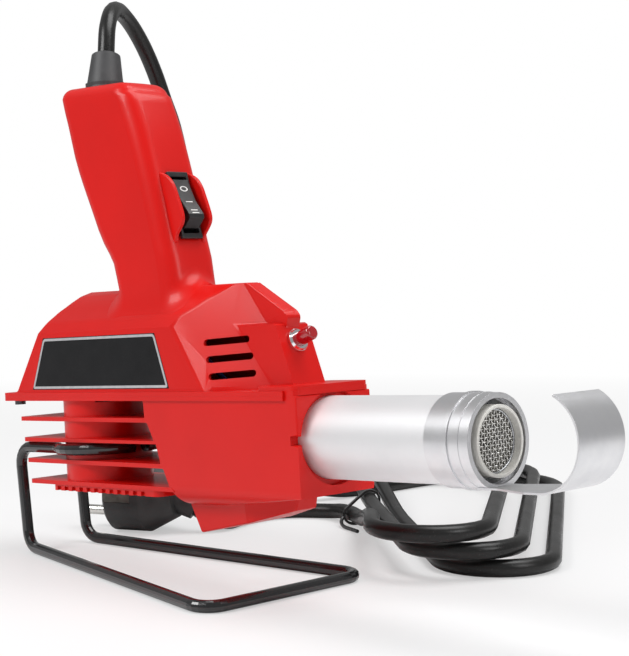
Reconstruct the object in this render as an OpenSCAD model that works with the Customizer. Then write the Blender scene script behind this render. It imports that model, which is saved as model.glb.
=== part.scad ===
// Embossing heat tool: a small pistol-grip hot-air tool standing handle-up on a wire stand.
// Millimetres. +Z is up from the surface it stands on, +X is where the nozzle points.
// The housing is drawn level in its own frame, with the drum axis at x = 0, y = 0 and the seam of
// the two housing halves at z = 0. The stand then holds it nose-up.

/* [Placing on the stand] */
// height of the housing seam above the surface, on the drum axis
tool_height = 73.2; // [68:0.2:80]
// how far the stand tips the nozzle up, in degrees
tool_tilt = 3.6; // [0:0.1:6]

/* [Housing] */
// half width of the duct wall and of the fins
body_half = 19.8; // [18:0.1:23]
// rear end of the seam flange, behind the drum axis
flange_back = -51.5; // [-58:0.5:-46]
// half width of the seam flange
flange_half = 20.8; // [19.5:0.1:24]
// thickness of each half of the seam flange
flange_t = 1.8; // [1.2:0.1:3]
// wall of both mouldings
wall = 2.2; // [1.6:0.1:3]
// front face of the duct, where the barrel comes out
duct_front = 142; // [136:0.5:150]
// height of the roof crest over the seam
roof_z = 45.2; // [40:0.2:50]

/* [Cooling fins and drum] */
// outer radius of the drum round the motor
drum_r = 19; // [17:0.1:19.5]
// level of the first fin's upper face under the seam
fin_top = -9; // [-12:0.1:-7]
// step from fin to fin
fin_pitch = 9.3; // [8.6:0.1:10.5]
// thickness of a fin
fin_t = 1.8; // [1.2:0.1:2.4]
// rearmost point of the first fin
fin_tail = -39.7; // [-46:0.1:-34]
// how much shorter each lower fin is
fin_step = 1.9; // [0:0.1:3]

/* [Handle] */
// half width of the handle
grip_half = 12.5; // [11:0.1:15]
// corner radius of the handle's section
grip_round = 4.5; // [2:0.1:6]

/* [Switch] */
// length of the switch frame
switch_l = 29.4; // [26:0.1:32]
// width of the switch frame
switch_w = 11; // [10:0.1:12]
// how far the handle's front face leans back under the switch, in degrees
switch_lean = 16.3; // [10:0.1:22]

/* [Barrel and heater] */
// outer radius of the metal barrel
barrel_r = 15.8; // [14:0.1:17]
// sheet thickness of the barrel
barrel_t = 0.8; // [0.5:0.1:1.5]
// level of the barrel axis under the seam
barrel_z = -17; // [-19:0.1:-16]
// front end of the barrel, inside the reflector's collar
barrel_end = 215; // [205:0.5:220]
// outer radius of the ceramic tube
tube_r = 12.6; // [11:0.1:13.5]
// turns of the heating coil
coil_turns = 9; // [6:1:14]

/* [Reflector] */
// gap between the collar and the barrel
collar_gap = 0.25; // [0.15:0.05:0.5]
// sheet thickness of the reflector
sheet_t = 0.7; // [0.5:0.1:1.2]
// rear edge of the collar
collar_back = 201; // [195:0.5:206]
// front rim of the collar
collar_front = 220.6; // [216:0.1:224]
// radius of the curved scoop
scoop_r = 17.3; // [15:0.1:20]
// how far ahead of the drum axis the scoop's curve is centred
scoop_x = 246; // [240:0.5:256]
// half width of the scoop
scoop_half = 12.7; // [10:0.1:14]

/* [Wire stand] */
// wire diameter
wire_d = 5; // [4:0.1:6]
// centre-line radius of the clip round the drum
clip_r = 22; // [21:0.1:24]
// half distance between the two uprights
tail_half = 16; // [13:0.5:20]
// half width of the stand's front bar
foot_half = 43; // [36:0.5:55]
// front bar, ahead of the drum axis
foot_front = 116; // [95:1:140]
// bend radius of the wire, on its centre line
wire_bend = 8; // [6.5:0.1:12]

/* [Motor] */
// outer radius of the motor can
can_r = 15; // [13:0.1:15.6]
// radius of the motor shaft
shaft_r = 1.5; // [1.2:0.1:2]
// outer radius of the impeller
fan_r = 15.5; // [13:0.1:16]
// number of impeller blades
fan_blades = 9; // [6:1:12]

/* [Cord] */
// diameter of the mains cord
cord_d = 7.5; // [6.5:0.1:8.5]
// length of the strain relief over the handle
relief_l = 15; // [12:0.5:30]
// width of the plug body
plug_w = 37; // [34:0.5:40]

/* [Hidden] */
$fa = 6;
$fs = 0.8;
e = 0.01;
seat = 0.3; // clearance of parts that lie loosely together
touch = 0.02; // parts of one body that meet face to face

drum_in = drum_r - 1.8;
drum_bottom = fin_top - 3 * fin_pitch - fin_t;
wire_r = wire_d / 2;
cord_r = cord_d / 2;
clip_z = fin_top - fin_pitch - fin_t - seat - wire_r;
tail_x = -46;
foot_back = -38;
barrel_back = duct_front - 14;
collar_in = barrel_r + collar_gap;
collar_out = collar_in + sheet_t;
fan_z = 5;
scoop_z = barrel_z + 1.3;

// the origin is on the surface, midway between the flange's rear end and the scoop's front
rear_x = flange_back * cos(tool_tilt) - flange_t * sin(tool_tilt);
front_x = scoop_x * cos(tool_tilt) - scoop_z * sin(tool_tilt) + scoop_r;
mid_x = (rear_x + front_x) / 2;

// half cross-section of the upper housing, from the seam to the crest
roof_half = [[body_half, 0], [19.2, 28], [16.4, 32.6], [13.1, 35.8], [10.7, 38.4], [8.1, 40.9],
             [4.5, 43.6], [0, roof_z]];
// outline of the handle, seen from the side
grip_back = [[26, 42], [28.5, 49], [27.2, 56.8], [22.3, 65.2], [16.2, 77.3], [9.2, 96.1], [-3, 129.5],
             [-2.6, 132.5], [0.5, 134.3]];
grip_front = [[37.5, 132.2], [40.6, 130], [46, 118], [51.2, 103], [55.2, 92], [63.5, 63.5],
              [65.6, 52], [68, 47], [74, 42]];
switch_x = 59.35;
switch_z = 77.75;
pivot_z = -1.2;

function unit(v) = v / norm(v);
module tool() {
  translate([-mid_x, 0, tool_height]) rotate([0, -tool_tilt, 0]) children();
}

// a side outline, drawn in x and z, made wide by w
module side(w) {
  translate([0, w / 2, 0]) rotate([90, 0, 0]) linear_extrude(height = w) children();
}

module rounded_box(x0, x1, half, z0, z1, r) {
  translate([0, 0, z0]) linear_extrude(height = z1 - z0) rounded_plan(x0, x1, half, r);
}

module rounded_plan(x0, x1, half, r) {
  union() {
    translate([x0 + r, -half]) square([x1 - x0 - 2 * r, 2 * half]);
    translate([x0, -half + r]) square([x1 - x0, 2 * half - 2 * r]);
    for (x = [x0 + r, x1 - r], y = [-half + r, half - r]) translate([x, y]) circle(r = r);
  }
}

// ---------- upper housing ----------

// slanted half space in front of the vent face, on the side s
module vent_cut(s, inset) {
  mirror([0, s > 0 ? 1 : 0, 0]) translate([91.6, -19.5, 0.2])
    rotate([0, 0, -68.15]) rotate([0, 74.1, 0]) translate([-80, -80, -inset]) cube([160, 160, 80]);
}

module roof_section(inset) {
  points = [for (p = roof_half) [p[0] - (p[0] > 0 ? inset : 0), p[1] - (p[1] > 20 ? inset : 0)]];
  rotate([90, 0, 90]) linear_extrude(height = 200)
    polygon(concat([[0, -2]], [[points[0][0], -2]], points,
                   [for (i = [len(points) - 1:-1:0]) [-points[i][0], points[i][1]]],
                   [[-points[0][0], -2]]));
}

module roof_body(inset) {
  intersection() {
    translate([-60, 0, 0]) roof_section(inset);
    side(60) polygon([[-41.5 + 1.3 * inset, -3], [-41.5 + 1.3 * inset, 0], [-21.5 + 1.3 * inset, 29],
                      [-16 + inset, 36.5 - 0.6 * inset], [-8 + inset, roof_z - inset],
                      [100, roof_z - 1.4 - inset], [131 - inset, 0], [131 - inset, -3]]);
  }
}

module lamp_boss(inset) {
  side(17 - 2 * inset)
    polygon([[90, -3], [90, 27 - inset], [119.8 - inset, 27 - inset], [121.2 - inset, 26.3 - inset],
             [129.4 - inset, 3.6], [130.6 - inset, 0], [130.6 - inset, -3]]);
}

module spine() {
  side(7) polygon([[85, 20], [85, 43.6], [101.5, 43.6], [120.6, 32.4], [123, 29.5], [121.5, 25]]);
}

module grip_solid(inset) {
  back = [for (p = grip_back) [p[0] + inset, p[1] - (p[1] > 120 ? inset : 0)]];
  front = [for (p = grip_front) [p[0] - inset, p[1] - (p[1] > 120 ? inset : 0)]];
  intersection() {
    side(2 * (grip_half - inset)) polygon(concat(back, front, [[74, 30], [26, 30]]));
    // rounded section that leans back with the handle
    translate([21, 0, 132]) rotate([0, -19.5, 0]) translate([0, 0, -130])
      rounded_box(-20.5 + inset, 21.5 - inset, grip_half - inset, 0, 160, grip_round);
  }
}

module flange_plan(half) {
  difference() {
    rounded_plan(flange_back, duct_front, half, 4);
    // the flange narrows to the duct's front
    translate([duct_front - 6, half - 1]) square([20, 10]);
    translate([duct_front - 6, -half - 9]) square([20, 10]);
  }
}

module switch_place() {
  translate([switch_x, 0, switch_z]) rotate([0, 90 - switch_lean, 0]) children();
}

lamp_lean = 70.6;
module lamp_place() {
  translate([123.6, 0, 20]) rotate([0, lamp_lean, 0]) children();
}

module guards() {
  for (y = [-8.2, 6.6]) translate([0, y, 0]) rotate([90, 0, 0]) mirror([0, 0, 1])
    linear_extrude(height = 1.6)
      polygon([[50, 92.6], [55.6, 91.6], [62.6, 87.4], [66.8, 77.5], [68.4, 72], [66.6, 68.2],
               [63.4, 65.6], [62, 62], [56, 62]]);
}

module upper_housing() {
  color([0.78, 0.06, 0.05]) tool() difference() {
    union() {
      difference() {
        roof_body(0);
        vent_cut(-1, 0);
        vent_cut(1, 0);
      }
      spine();
      lamp_boss(0);
      grip_solid(0);
      guards();
      linear_extrude(height = flange_t) flange_plan(flange_half);
      // thicker lip over the barrel
      difference() {
        rounded_box(93, duct_front, body_half, 0, 3.5, 3);
        translate([93, -body_half - 1, 0]) rotate([0, 0, 33]) mirror([0, 1, 0]) cube([60, 30, 10]);
        mirror([0, 1, 0]) translate([93, -body_half - 1, 0]) rotate([0, 0, 33]) mirror([0, 1, 0])
          cube([60, 30, 10]);
      }
      rounded_box(120, duct_front, body_half, 0, 3.5, 3);
    }
    // the seam face is flat
    translate([-100, -50, -20]) cube([300, 100, 20]);
    difference() {
      roof_body(wall);
      vent_cut(-1, wall);
      vent_cut(1, wall);
    }
    lamp_boss(wall);
    grip_solid(wall);
    // room over the barrel's rear end
    translate([0, 0, barrel_z]) rotate([0, 90, 0]) translate([0, 0, 120])
      cylinder(r = barrel_r + 0.6, h = 40);
    // seat and hole of the strain relief
    exit_place() translate([0, 0, -relief_sunk]) cylinder(r = relief_base + 0.1, h = 20);
    exit_place() rotate([0, -grip_lean, 0]) translate([0, 0, -14]) cylinder(r = 6.2, h = 20);
    // shallow seat of the label plate
    label_sheet(touch, 1);
    for (p = screw_spots) translate([p[0], p[1], -1]) cylinder(r = 1.5 + touch, h = 2.4 + touch);
    // opening for the switch
    switch_place() translate([-13.3, -5.1, -12]) cube([26.6, 10.2, 24]);
    // hole for the lamp
    lamp_place() translate([0, 0, -12]) cylinder(r = 3.6, h = 20);
    // vent slots in both diagonal faces
    for (s = [-1, 1], i = [0:2]) vent_slot(s, i);
  }
}

// vent slot i, counted from the top, cut square through the face on side s
module vent_slot(s, i) {
  x0 = 86.2 + 2.3 * i;
  y0 = -15.3 - 1.15 * i;
  z0 = 20.8 - 6.7 * i;
  mirror([0, s > 0 ? 1 : 0, 0]) translate([x0, y0, z0]) rotate([0, -2.5, 22.5 + 0.6 * i])
    for (x = [1.3, 19.4]) {
      rotate([0, 0, 0]) translate([x, -10, 0]) rotate([-90, 0, 0]) cylinder(r = 1.35, h = 20);
      if (x < 2) translate([x, -10, -1.35]) cube([18.1, 20, 2.7]);
    }
}

// ---------- lower housing ----------

module duct_outer(inset) {
  w = body_half - inset;
  // the solid stops short of the seam, the hollow reaches past it
  top = inset > 0 ? 0.1 : -touch;
  intersection() {
    side(60) polygon([[50 + inset, top], [52.3 + inset, -9.6], [56.7 + inset, -18.1],
                      [65.6 + inset, -36.9], [70.6 + inset, -44 + inset], [80, -44.6 + inset],
                      [124.7, -40.2 + inset], [duct_front - (inset > 0 ? inset + 10 : 0), -38.4 + inset],
                      [duct_front - (inset > 0 ? inset + 10 : 0), top]]);
    translate([40, 0, 0]) rotate([90, 0, 90]) linear_extrude(height = 120) union() {
      translate([-w, -36]) square([2 * w, 40]);
      translate([-w + 8, -50]) square([2 * w - 16, 54]);
      for (y = [-w + 8, w - 8]) translate([y, -36]) circle(r = 8);
      translate([-w, -36]) square([2 * w, 4]);
    }
  }
}

module foot_pad() {
  intersection() {
    side(60) polygon([[66, -38], [75.2, -55.6], [103, -50.4], [124, -45.2], [127, -36]]);
    translate([0, 0, -60]) linear_extrude(height = 30)
      polygon([[60, -12], [103, -12], [126, -5], [126, 5], [103, 12], [60, 12]]);
  }
}

module fin(i) {
  z = fin_top - i * fin_pitch;
  difference() {
    rounded_box(fin_tail + i * fin_step, 74, body_half, z - fin_t, z, 2.5);
    // cut back along the duct's rear wall
    translate([0, 0, 0]) side(60)
      polygon([[51, 2], [53.3, -9.6], [57.7, -18.1], [66.6, -36.9], [71.6, -42], [90, -42], [90, 2]]);
    translate([0, 0, z - fin_t - 1]) cylinder(r = drum_in, h = fin_t + 2);
  }
}

module lower_housing() {
  color([0.74, 0.06, 0.05]) tool() {
    difference() {
      union() {
        duct_outer(0);
        foot_pad();
        translate([0, 0, -flange_t]) linear_extrude(height = flange_t - touch) flange_plan(flange_half);
        for (i = [0:3]) fin(i);
        translate([0, 0, drum_bottom]) cylinder(r = drum_r, h = -drum_bottom - flange_t + e);
      }
      duct_outer(wall);
      // open top of the duct
      translate([54, -body_half + wall, -6]) cube([duct_front - 12 - 54, 2 * (body_half - wall), 12]);
      // inside of the drum
      translate([0, 0, drum_bottom - 1]) cylinder(r = drum_in, h = 60);
      // air way from the drum's top to the duct, in the seam plane
      translate([-17, -15, -flange_t - 1]) cube([80, 30, flange_t + 2]);
      // bore for the barrel
      translate([0, 0, barrel_z]) rotate([0, 90, 0]) translate([0, 0, 110])
        cylinder(r = barrel_r + 0.1, h = 60);
      // recess round the barrel
      translate([duct_front - 2.4, 0, barrel_z]) rotate([0, 90, 0])
        cylinder(r = barrel_r + 2.2, h = 10);
      // locating notch at the barrel's near side
      translate([duct_front - 4, -body_half - 1, barrel_z - 1.5]) cube([8, 8, 3.4]);
      // screw holes through the flange
      for (p = screw_spots) translate([p[0], p[1], -10]) cylinder(r = 1.5 + touch, h = 20);
    }
    // bulkhead that the barrel pushes against
    difference() {
      intersection() {
        duct_outer(wall - 0.4);
        translate([barrel_back - 2.4, -25, -50]) cube([2.4, 50, 48]);
      }
      translate([100, 0, barrel_z]) rotate([0, 90, 0]) cylinder(r = barrel_r - 2.6, h = 50);
    }
  }
}

screw_spots = [[-44.5, -15.5], [-44.5, 15.5]];

module housing_screws() {
  color([0.25, 0.25, 0.27]) tool() for (p = screw_spots) translate([p[0], p[1], 0]) {
    translate([0, 0, -flange_t - 1.9]) difference() {
      cylinder(r = 2.4, h = 1.9);
      for (a = [0, 90]) rotate([0, 0, a]) translate([-1.6, -0.35, -1]) cube([3.2, 0.7, 2]);
    }
    translate([0, 0, -flange_t]) cylinder(r = 1.5, h = flange_t + 1.4);
  }
}

module intake_grille() {
  color([0.7, 0.06, 0.05]) tool() translate([0, 0, drum_bottom - 2.6]) difference() {
    union() {
      rounded_box(-18, 58, body_half - 0.6, 0, 2.6 - touch, 4);
    }
    // air slots under the drum
    intersection() {
      translate([0, 0, -1]) cylinder(r = drum_in - 1.5, h = 6);
      for (y = [-13.5:4.5:13.5]) translate([-17, y - 1.3, -1]) cube([34, 2.6, 6]);
    }
    // notches along both edges
    for (i = [0:11], s = [-1, 1]) translate([-13.5 + 5.4 * i, s * (body_half - 0.6) - 1.2, -1])
      cube([2.8, 2.4, 2.9]);
  }
}

// the label plate's space in the housing's near side, grown by g and reaching out by far
module label_sheet(g, far) {
  translate([0, -body_half, 0]) rotate([88.36, 0, 0]) translate([0, 0, -0.65 - g])
    linear_extrude(height = 0.65 + g + far)
      polygon([[-27.5 - g, 3.2 - g], [68.5 + g, 3.2 - g], [60.2 + g, 25.8 + g], [-18.6 - g, 25.8 + g]]);
}

module label_plate() {
  color([0.08, 0.08, 0.09]) tool() label_sheet(0, 0.15);
}

// ---------- switch ----------

module switch_frame() {
  color([0.06, 0.06, 0.06]) tool() switch_place() difference() {
    translate([-switch_l / 2, -switch_w / 2, touch]) cube([switch_l, switch_w, 1.8]);
    translate([-12.4, -4.2, -2]) cube([24.8, 8.4, 6]);
  }
}

module switch_body() {
  color([0.1, 0.1, 0.1]) tool() switch_place() difference() {
    translate([-13.2, -5, -16]) cube([26.4, 10, 16]);
    translate([-12.4, -4.2, -8.6]) cube([24.8, 8.4, 10]);
    // bores for the rocker's pivot pins
    translate([0, -6, pivot_z]) rotate([-90, 0, 0]) cylinder(r = 1.06, h = 12);
  }
}

module switch_terminals() {
  color([0.78, 0.7, 0.45]) tool() switch_place()
    for (x = [-8, 0, 8]) translate([x - 0.4, -2.4, -22]) cube([0.8, 4.8, 6 - touch]);
}

module rocker() {
  color([0.05, 0.05, 0.05]) tool() switch_place() union() {
    difference() {
      side(7.8) polygon([[-10.8, -2.8], [-10.8, 2.4], [-1, 4.3], [6.2, 7.2], [7.8, 7], [10.6, 2.2],
                         [10.6, -2.8]]);
      // hollow under the rocker
      side(5.4) polygon([[-9.4, -4], [-9.4, 0.6], [9.2, 0.6], [9.2, -4]]);
    }
    // pivot pins
    translate([0, -4.8, pivot_z]) rotate([-90, 0, 0]) cylinder(r = 1, h = 9.6);
  }
}

// ---------- lamp ----------

module lamp_bezel() {
  color([0.8, 0.8, 0.82]) tool() lamp_place() difference() {
    union() {
      translate([0, 0, touch]) cylinder(r = 4.6, h = 1.1);
      translate([0, 0, 1.1]) cylinder(r1 = 4.5, r2 = 3.9, h = 0.9);
      translate([0, 0, -7]) cylinder(r = 3.5, h = 8);
    }
    translate([0, 0, -8]) cylinder(r = 2.9, h = 12);
  }
}

module lamp_lens() {
  color([0.5, 0.02, 0.03]) tool() lamp_place() union() {
    translate([0, 0, -6]) cylinder(r = 2.85, h = 15);
    translate([0, 0, 9]) cylinder(r1 = 2.85, r2 = 2.3, h = 0.8);
  }
}

module lamp_body() {
  color([0.85, 0.85, 0.8]) tool() lamp_place() union() {
    translate([0, 0, -13]) cylinder(r = 2.4, h = 7 - touch);
    for (y = [-1.2, 1.2]) translate([0, y, -17]) cylinder(r = 0.5, h = 4.1);
  }
}

// ---------- barrel and heater ----------

module nozzle_axis() {
  tool() translate([0, 0, barrel_z]) rotate([0, 90, 0]) children();
}

module ring(r_out, r_in, z0, z1) {
  translate([0, 0, z0]) difference() {
    cylinder(r = r_out, h = z1 - z0);
    translate([0, 0, -1]) cylinder(r = r_in, h = z1 - z0 + 2);
  }
}

module barrel() {
  color([0.8, 0.8, 0.81]) nozzle_axis() ring(barrel_r, barrel_r - barrel_t, barrel_back, barrel_end);
}

module heater_tube() {
  color([0.86, 0.84, 0.78]) nozzle_axis() ring(tube_r, tube_r - 1.2, barrel_back + 6, collar_front + 0.9);
}

// spacer rings that hold the ceramic tube in the barrel
module tube_spacers() {
  color([0.6, 0.6, 0.6]) nozzle_axis() for (z = [barrel_back + 10, barrel_end - 8])
    ring(barrel_r - barrel_t - touch, tube_r + touch, z, z + 4);
}

module element_former() {
  color([0.75, 0.68, 0.5]) nozzle_axis() difference() {
    union() {
      for (a = [0, 90]) rotate([0, 0, a]) translate([-7.6, -0.5, barrel_back + 12]) cube([15.2, 1, 66]);
      translate([0, 0, barrel_back + 8]) cylinder(r = tube_r - 1.2 - touch, h = 1.6);
    }
    for (a = [45:90:315]) rotate([0, 0, a]) translate([6.8, 0, barrel_back + 5]) cylinder(r = 3, h = 8);
  }
  color([0.75, 0.68, 0.5]) nozzle_axis() for (a = [0, 90]) rotate([0, 0, a])
    translate([-7.6, -0.5, barrel_back + 9]) cube([15.2, 1, 4]);
}

coil_radius = 9.3;
coil_wire = 0.7;
coil_pitch = 6;
function coil_point(t) = [coil_radius * cos(360 * t), coil_radius * sin(360 * t),
                          barrel_back + 18 + coil_pitch * t];

module heating_coil() {
  color([0.5, 0.45, 0.42]) nozzle_axis()
    sweep([for (i = [0:coil_turns * 12]) coil_point(i / 12)], coil_wire, 6);
}

module mesh_screen() {
  color([0.7, 0.7, 0.7]) nozzle_axis() union() {
    ring(tube_r - 1.2 - touch, tube_r - 2.2, collar_front - 3.4, collar_front - 1.6);
    intersection() {
      translate([0, 0, collar_front - 3]) cylinder(r = tube_r - 2.1, h = 1);
      union() {
        for (i = [-3:3]) {
          translate([-12, i * 3 - 0.35, collar_front - 3]) cube([24, 0.7, 0.6]);
          translate([i * 3 - 0.35, -12, collar_front - 2.8]) cube([0.7, 24, 0.6]);
        }
      }
    }
  }
}

module thermal_cutoff() {
  color([0.75, 0.75, 0.78]) nozzle_axis() translate([2, 7, barrel_back - 6]) union() {
    cylinder(r = 2, h = 11);
    translate([0, 0, 11]) cylinder(r1 = 2, r2 = 0.5, h = 2.6);
    translate([0, 0, -6]) cylinder(r = 0.6, h = 6.1);
  }
}

// ---------- reflector ----------

module reflector_sheet() {
  translate([scoop_x, 0, scoop_z]) rotate([90, 0, 0]) translate([0, 0, -scoop_half])
    intersection() {
      difference() {
        cylinder(r = scoop_r, h = 2 * scoop_half);
        translate([0, 0, -1]) cylinder(r = scoop_r - sheet_t, h = 2 * scoop_half + 2);
      }
      translate([0, 0, -1]) linear_extrude(height = 2 * scoop_half + 2)
        polygon([[0, -30], [40, -30], [40, 20], [scoop_r * 0.5, 20], [scoop_r * 0.36, 8], [0, -4]]);
    }
}

module reflector() {
  tongue_z = scoop_z - scoop_r;
  tongue_x = barrel_end + 0.8;
  color([0.82, 0.82, 0.83]) tool() union() {
    translate([0, 0, barrel_z]) rotate([0, 90, 0]) {
      ring(collar_out, collar_in, collar_back, collar_front);
      // raised bead and rolled rim
      ring(collar_out + 0.5, collar_in + 0.2, 209.5, 211.5);
      ring(collar_out + 0.2, barrel_r - 1, barrel_end + 0.6, barrel_end + 1.4);
      ring(collar_out, 14.8, collar_front - 0.8, collar_front);
    }
    reflector_sheet();
    // flat tongue between collar and scoop
    translate([0, 0, tongue_z]) linear_extrude(height = sheet_t)
      polygon([[tongue_x, -7], [collar_front + 4, -7], [scoop_x - 6, -scoop_half],
               [scoop_x + 0.2, -scoop_half], [scoop_x + 0.2, scoop_half], [scoop_x - 6, scoop_half],
               [collar_front + 4, 7], [tongue_x, 7]]);
  }
}

// ---------- motor and fan ----------

module motor_can() {
  color([0.55, 0.56, 0.58]) tool() difference() {
    translate([0, 0, -34]) cylinder(r = can_r, h = 30);
    translate([0, 0, -35]) cylinder(r = can_r - 1.2, h = 29.8);
    translate([0, 0, -8]) cylinder(r = 3.2, h = 8);
  }
}

module motor_magnets() {
  color([0.2, 0.2, 0.22]) tool() translate([0, 0, -31]) intersection() {
    ring(can_r - 1.2 - touch, can_r - 4, 0, 22);
    union() for (a = [0, 180]) rotate([0, 0, a]) translate([0, 0, -1]) linear_extrude(height = 24)
      polygon([[0, 0], [20, -14], [20, 14]]);
  }
}

module motor_end_cap() {
  color([0.12, 0.12, 0.12]) tool() difference() {
    union() {
      translate([0, 0, -36]) cylinder(r = can_r, h = 2 - touch);
      translate([0, 0, -34]) cylinder(r = can_r - 1.2 - touch, h = 1.5);
      translate([0, 0, -38.5]) cylinder(r = 5, h = 3);
    }
    translate([0, 0, -37.2]) cylinder(r = 3.2, h = 6);
    for (a = [45:90:315]) rotate([0, 0, a]) translate([9.5, 0, -40]) cylinder(r = 2, h = 10);
  }
}

module motor_brushes() {
  color([0.25, 0.22, 0.2]) tool() for (s = [0, 180]) rotate([0, 0, s])
    translate([3.6, -1.5, -32.3]) cube([6, 3, 3]);
}

module bearings() {
  color([0.7, 0.6, 0.4]) tool() {
    ring(3.2 - touch, shaft_r + 0.1, -37.2 + touch, -34);
    ring(3.2 - touch, shaft_r + 0.1, -7, -4);
  }
}

module motor_mount() {
  color([0.15, 0.15, 0.15]) tool() for (z = [-30, -12])
    ring(drum_in - touch, can_r + touch, z, z + 3);
}

module motor_shaft() {
  color([0.75, 0.75, 0.78]) tool() translate([0, 0, -36.6]) cylinder(r = shaft_r, h = 52);
}

module armature_core() {
  color([0.45, 0.45, 0.48]) tool() translate([0, 0, -26]) difference() {
    union() {
      cylinder(r = 5, h = 12);
      for (a = [0:120:240]) rotate([0, 0, a]) {
        translate([0, -1.6, 0]) cube([9.4, 3.2, 12]);
        intersection() {
          difference() {
            cylinder(r = 10.6, h = 12);
            translate([0, 0, -1]) cylinder(r = 8.8, h = 14);
          }
          translate([0, 0, -1]) linear_extrude(height = 14) polygon([[0, 0], [14, -11], [14, 11]]);
        }
      }
    }
    translate([0, 0, -1]) cylinder(r = shaft_r + touch, h = 14);
  }
}

module armature_windings() {
  color([0.72, 0.38, 0.16]) tool() for (a = [0:120:240]) rotate([0, 0, a])
    translate([0, 0, -27.5]) difference() {
      translate([5.2, -3.2, 0]) cube([2.7, 6.4, 15]);
      translate([4, -1.62, 1.5 - touch]) cube([6, 3.24, 12 + 2 * touch]);
    }
}

module commutator() {
  color([0.75, 0.42, 0.2]) tool() difference() {
    ring(3.5, shaft_r + touch, -32.2, -27.8);
    for (a = [0:60:300]) rotate([0, 0, a]) translate([2.8, -0.2, -32.3]) cube([2, 0.4, 5]);
  }
}

module impeller() {
  color([0.2, 0.2, 0.22]) tool() translate([0, 0, fan_z]) difference() {
    union() {
      cylinder(r = fan_r, h = 1.4);
      cylinder(r = 4, h = 9.5);
      for (i = [0:fan_blades - 1]) rotate([0, 0, i * 360 / fan_blades])
        translate([3, 0, 0]) rotate([0, 0, 14]) cube([fan_r - 5, 1, 9.5]);
    }
    translate([0, 0, -1]) cylinder(r = shaft_r + touch, h = 12);
  }
}

// ---------- wire stand ----------

// n + 1 points round the corner b, between a and c, on the bend radius r
function corner(a, b, c, r, n) =
  let (u = unit(a - b), v = unit(c - b), open = acos(u * v), mid = b + unit(u + v) * (r / sin(open / 2)),
       start = b + u * (r / tan(open / 2)), e1 = unit(start - mid), e2 = -u)
  [for (k = [0:n]) let (t = (180 - open) * k / n) mid + r * (cos(t) * e1 + sin(t) * e2)];

// a point of the housing's frame, on the surface's axes
function stood(p) = [cos(tool_tilt) * p[0] - sin(tool_tilt) * p[2] - mid_x, p[1],
                     tool_height + sin(tool_tilt) * p[0] + cos(tool_tilt) * p[2]];

// the clip leaves the drum through a small opposite bend
s_bend = 6;
s_x = -sqrt(pow(clip_r + s_bend, 2) - pow(tail_half + s_bend, 2));
s_turn = atan2(tail_half + s_bend, -s_x);
clip_open = 8; // half angle between the two free ends

// centre line of the wire's near half, from its free end to the middle of the front bar
near_wire = concat(
  [for (k = [0:12]) let (t = -clip_open - (180 - s_turn - clip_open) * k / 12)
     stood([clip_r * cos(t), clip_r * sin(t), clip_z])],
  [for (k = [1:5]) let (t = s_turn + (90 - s_turn) * k / 5)
     stood([s_x + s_bend * cos(t), s_bend * sin(t) - tail_half - s_bend, clip_z])],
  corner(stood([s_x, -tail_half, clip_z]), stood([tail_x, -tail_half, clip_z]),
         [foot_back - mid_x, -tail_half, wire_r], wire_bend, 6),
  corner(stood([tail_x, -tail_half, clip_z]), [foot_back - mid_x, -tail_half, wire_r],
         [foot_front - mid_x, -foot_half, wire_r], wire_bend, 6),
  corner([foot_back - mid_x, -tail_half, wire_r], [foot_front - mid_x, -foot_half, wire_r],
         [foot_front - mid_x, 0, wire_r], wire_bend, 6));

module wire_stand() {
  n = len(near_wire);
  color([0.03, 0.03, 0.03])
    sweep(concat(near_wire, [for (i = [n - 1:-1:0]) [near_wire[i][0], -near_wire[i][1], near_wire[i][2]]]),
          wire_r, 16);
}

// ---------- inner wiring ----------

// a tube of round section through the points p
module sweep(p, r, n) {
  m = len(p);
  dir = [for (i = [0:m - 1]) unit(p[min(i + 1, m - 1)] - p[max(i - 1, 0)])];
  side_of = sweep_sides(dir, unit(cross(dir[0], [0.31, 0.52, 0.8])), 0, []);
  points = [for (i = [0:m - 1], k = [0:n - 1])
              p[i] + r * (cos(360 * k / n) * side_of[i] + sin(360 * k / n) * cross(dir[i], side_of[i]))];
  faces = concat([[for (k = [0:n - 1]) k]], [[for (k = [n - 1:-1:0]) (m - 1) * n + k]],
                 [for (i = [0:m - 2], k = [0:n - 1])
                    [i * n + k, (i + 1) * n + k, (i + 1) * n + (k + 1) % n]],
                 [for (i = [0:m - 2], k = [0:n - 1])
                    [i * n + k, (i + 1) * n + (k + 1) % n, i * n + (k + 1) % n]]);
  polyhedron(points = points, faces = faces);
}

// side vectors carried along the sweep without twist
function sweep_sides(dir, s, i, out) =
  i == len(dir) ? out :
  let (t = unit(s - (s * dir[i]) * dir[i])) sweep_sides(dir, t, i + 1, concat(out, [t]));

// a smooth line through the points p, with n steps between two points
function smooth(p, n) = concat(
  [for (i = [0:len(p) - 2], k = [0:n - 1])
     let (a = p[max(i - 1, 0)], b = p[i], c = p[i + 1], d = p[min(i + 2, len(p) - 1)], t = k / n)
       0.5 * ((2 * b) + (c - a) * t + (2 * a - 5 * b + 4 * c - d) * t * t
              + (3 * b - a - 3 * c + d) * t * t * t)],
  [p[len(p) - 1]]);

module inner_leads() {
  color([0.15, 0.25, 0.6]) tool() {
    sweep(smooth([[33, -3, 88], [40, -4, 76], [44, -5, 60], [46, -6, 40], [60, -8, 20], [90, -7, -4],
                  [118, -6, -12], [126, -5, -14]], 3), 1.1, 8);
    sweep(smooth([[33, 3, 80], [38, 4, 70], [42, 6, 55], [44, 7, 36], [58, 8, 16], [90, 7, -8],
                  [118, 3, -20], [126, 1, -23]], 3), 1.1, 8);
  }
}

// ---------- cord ----------

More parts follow.
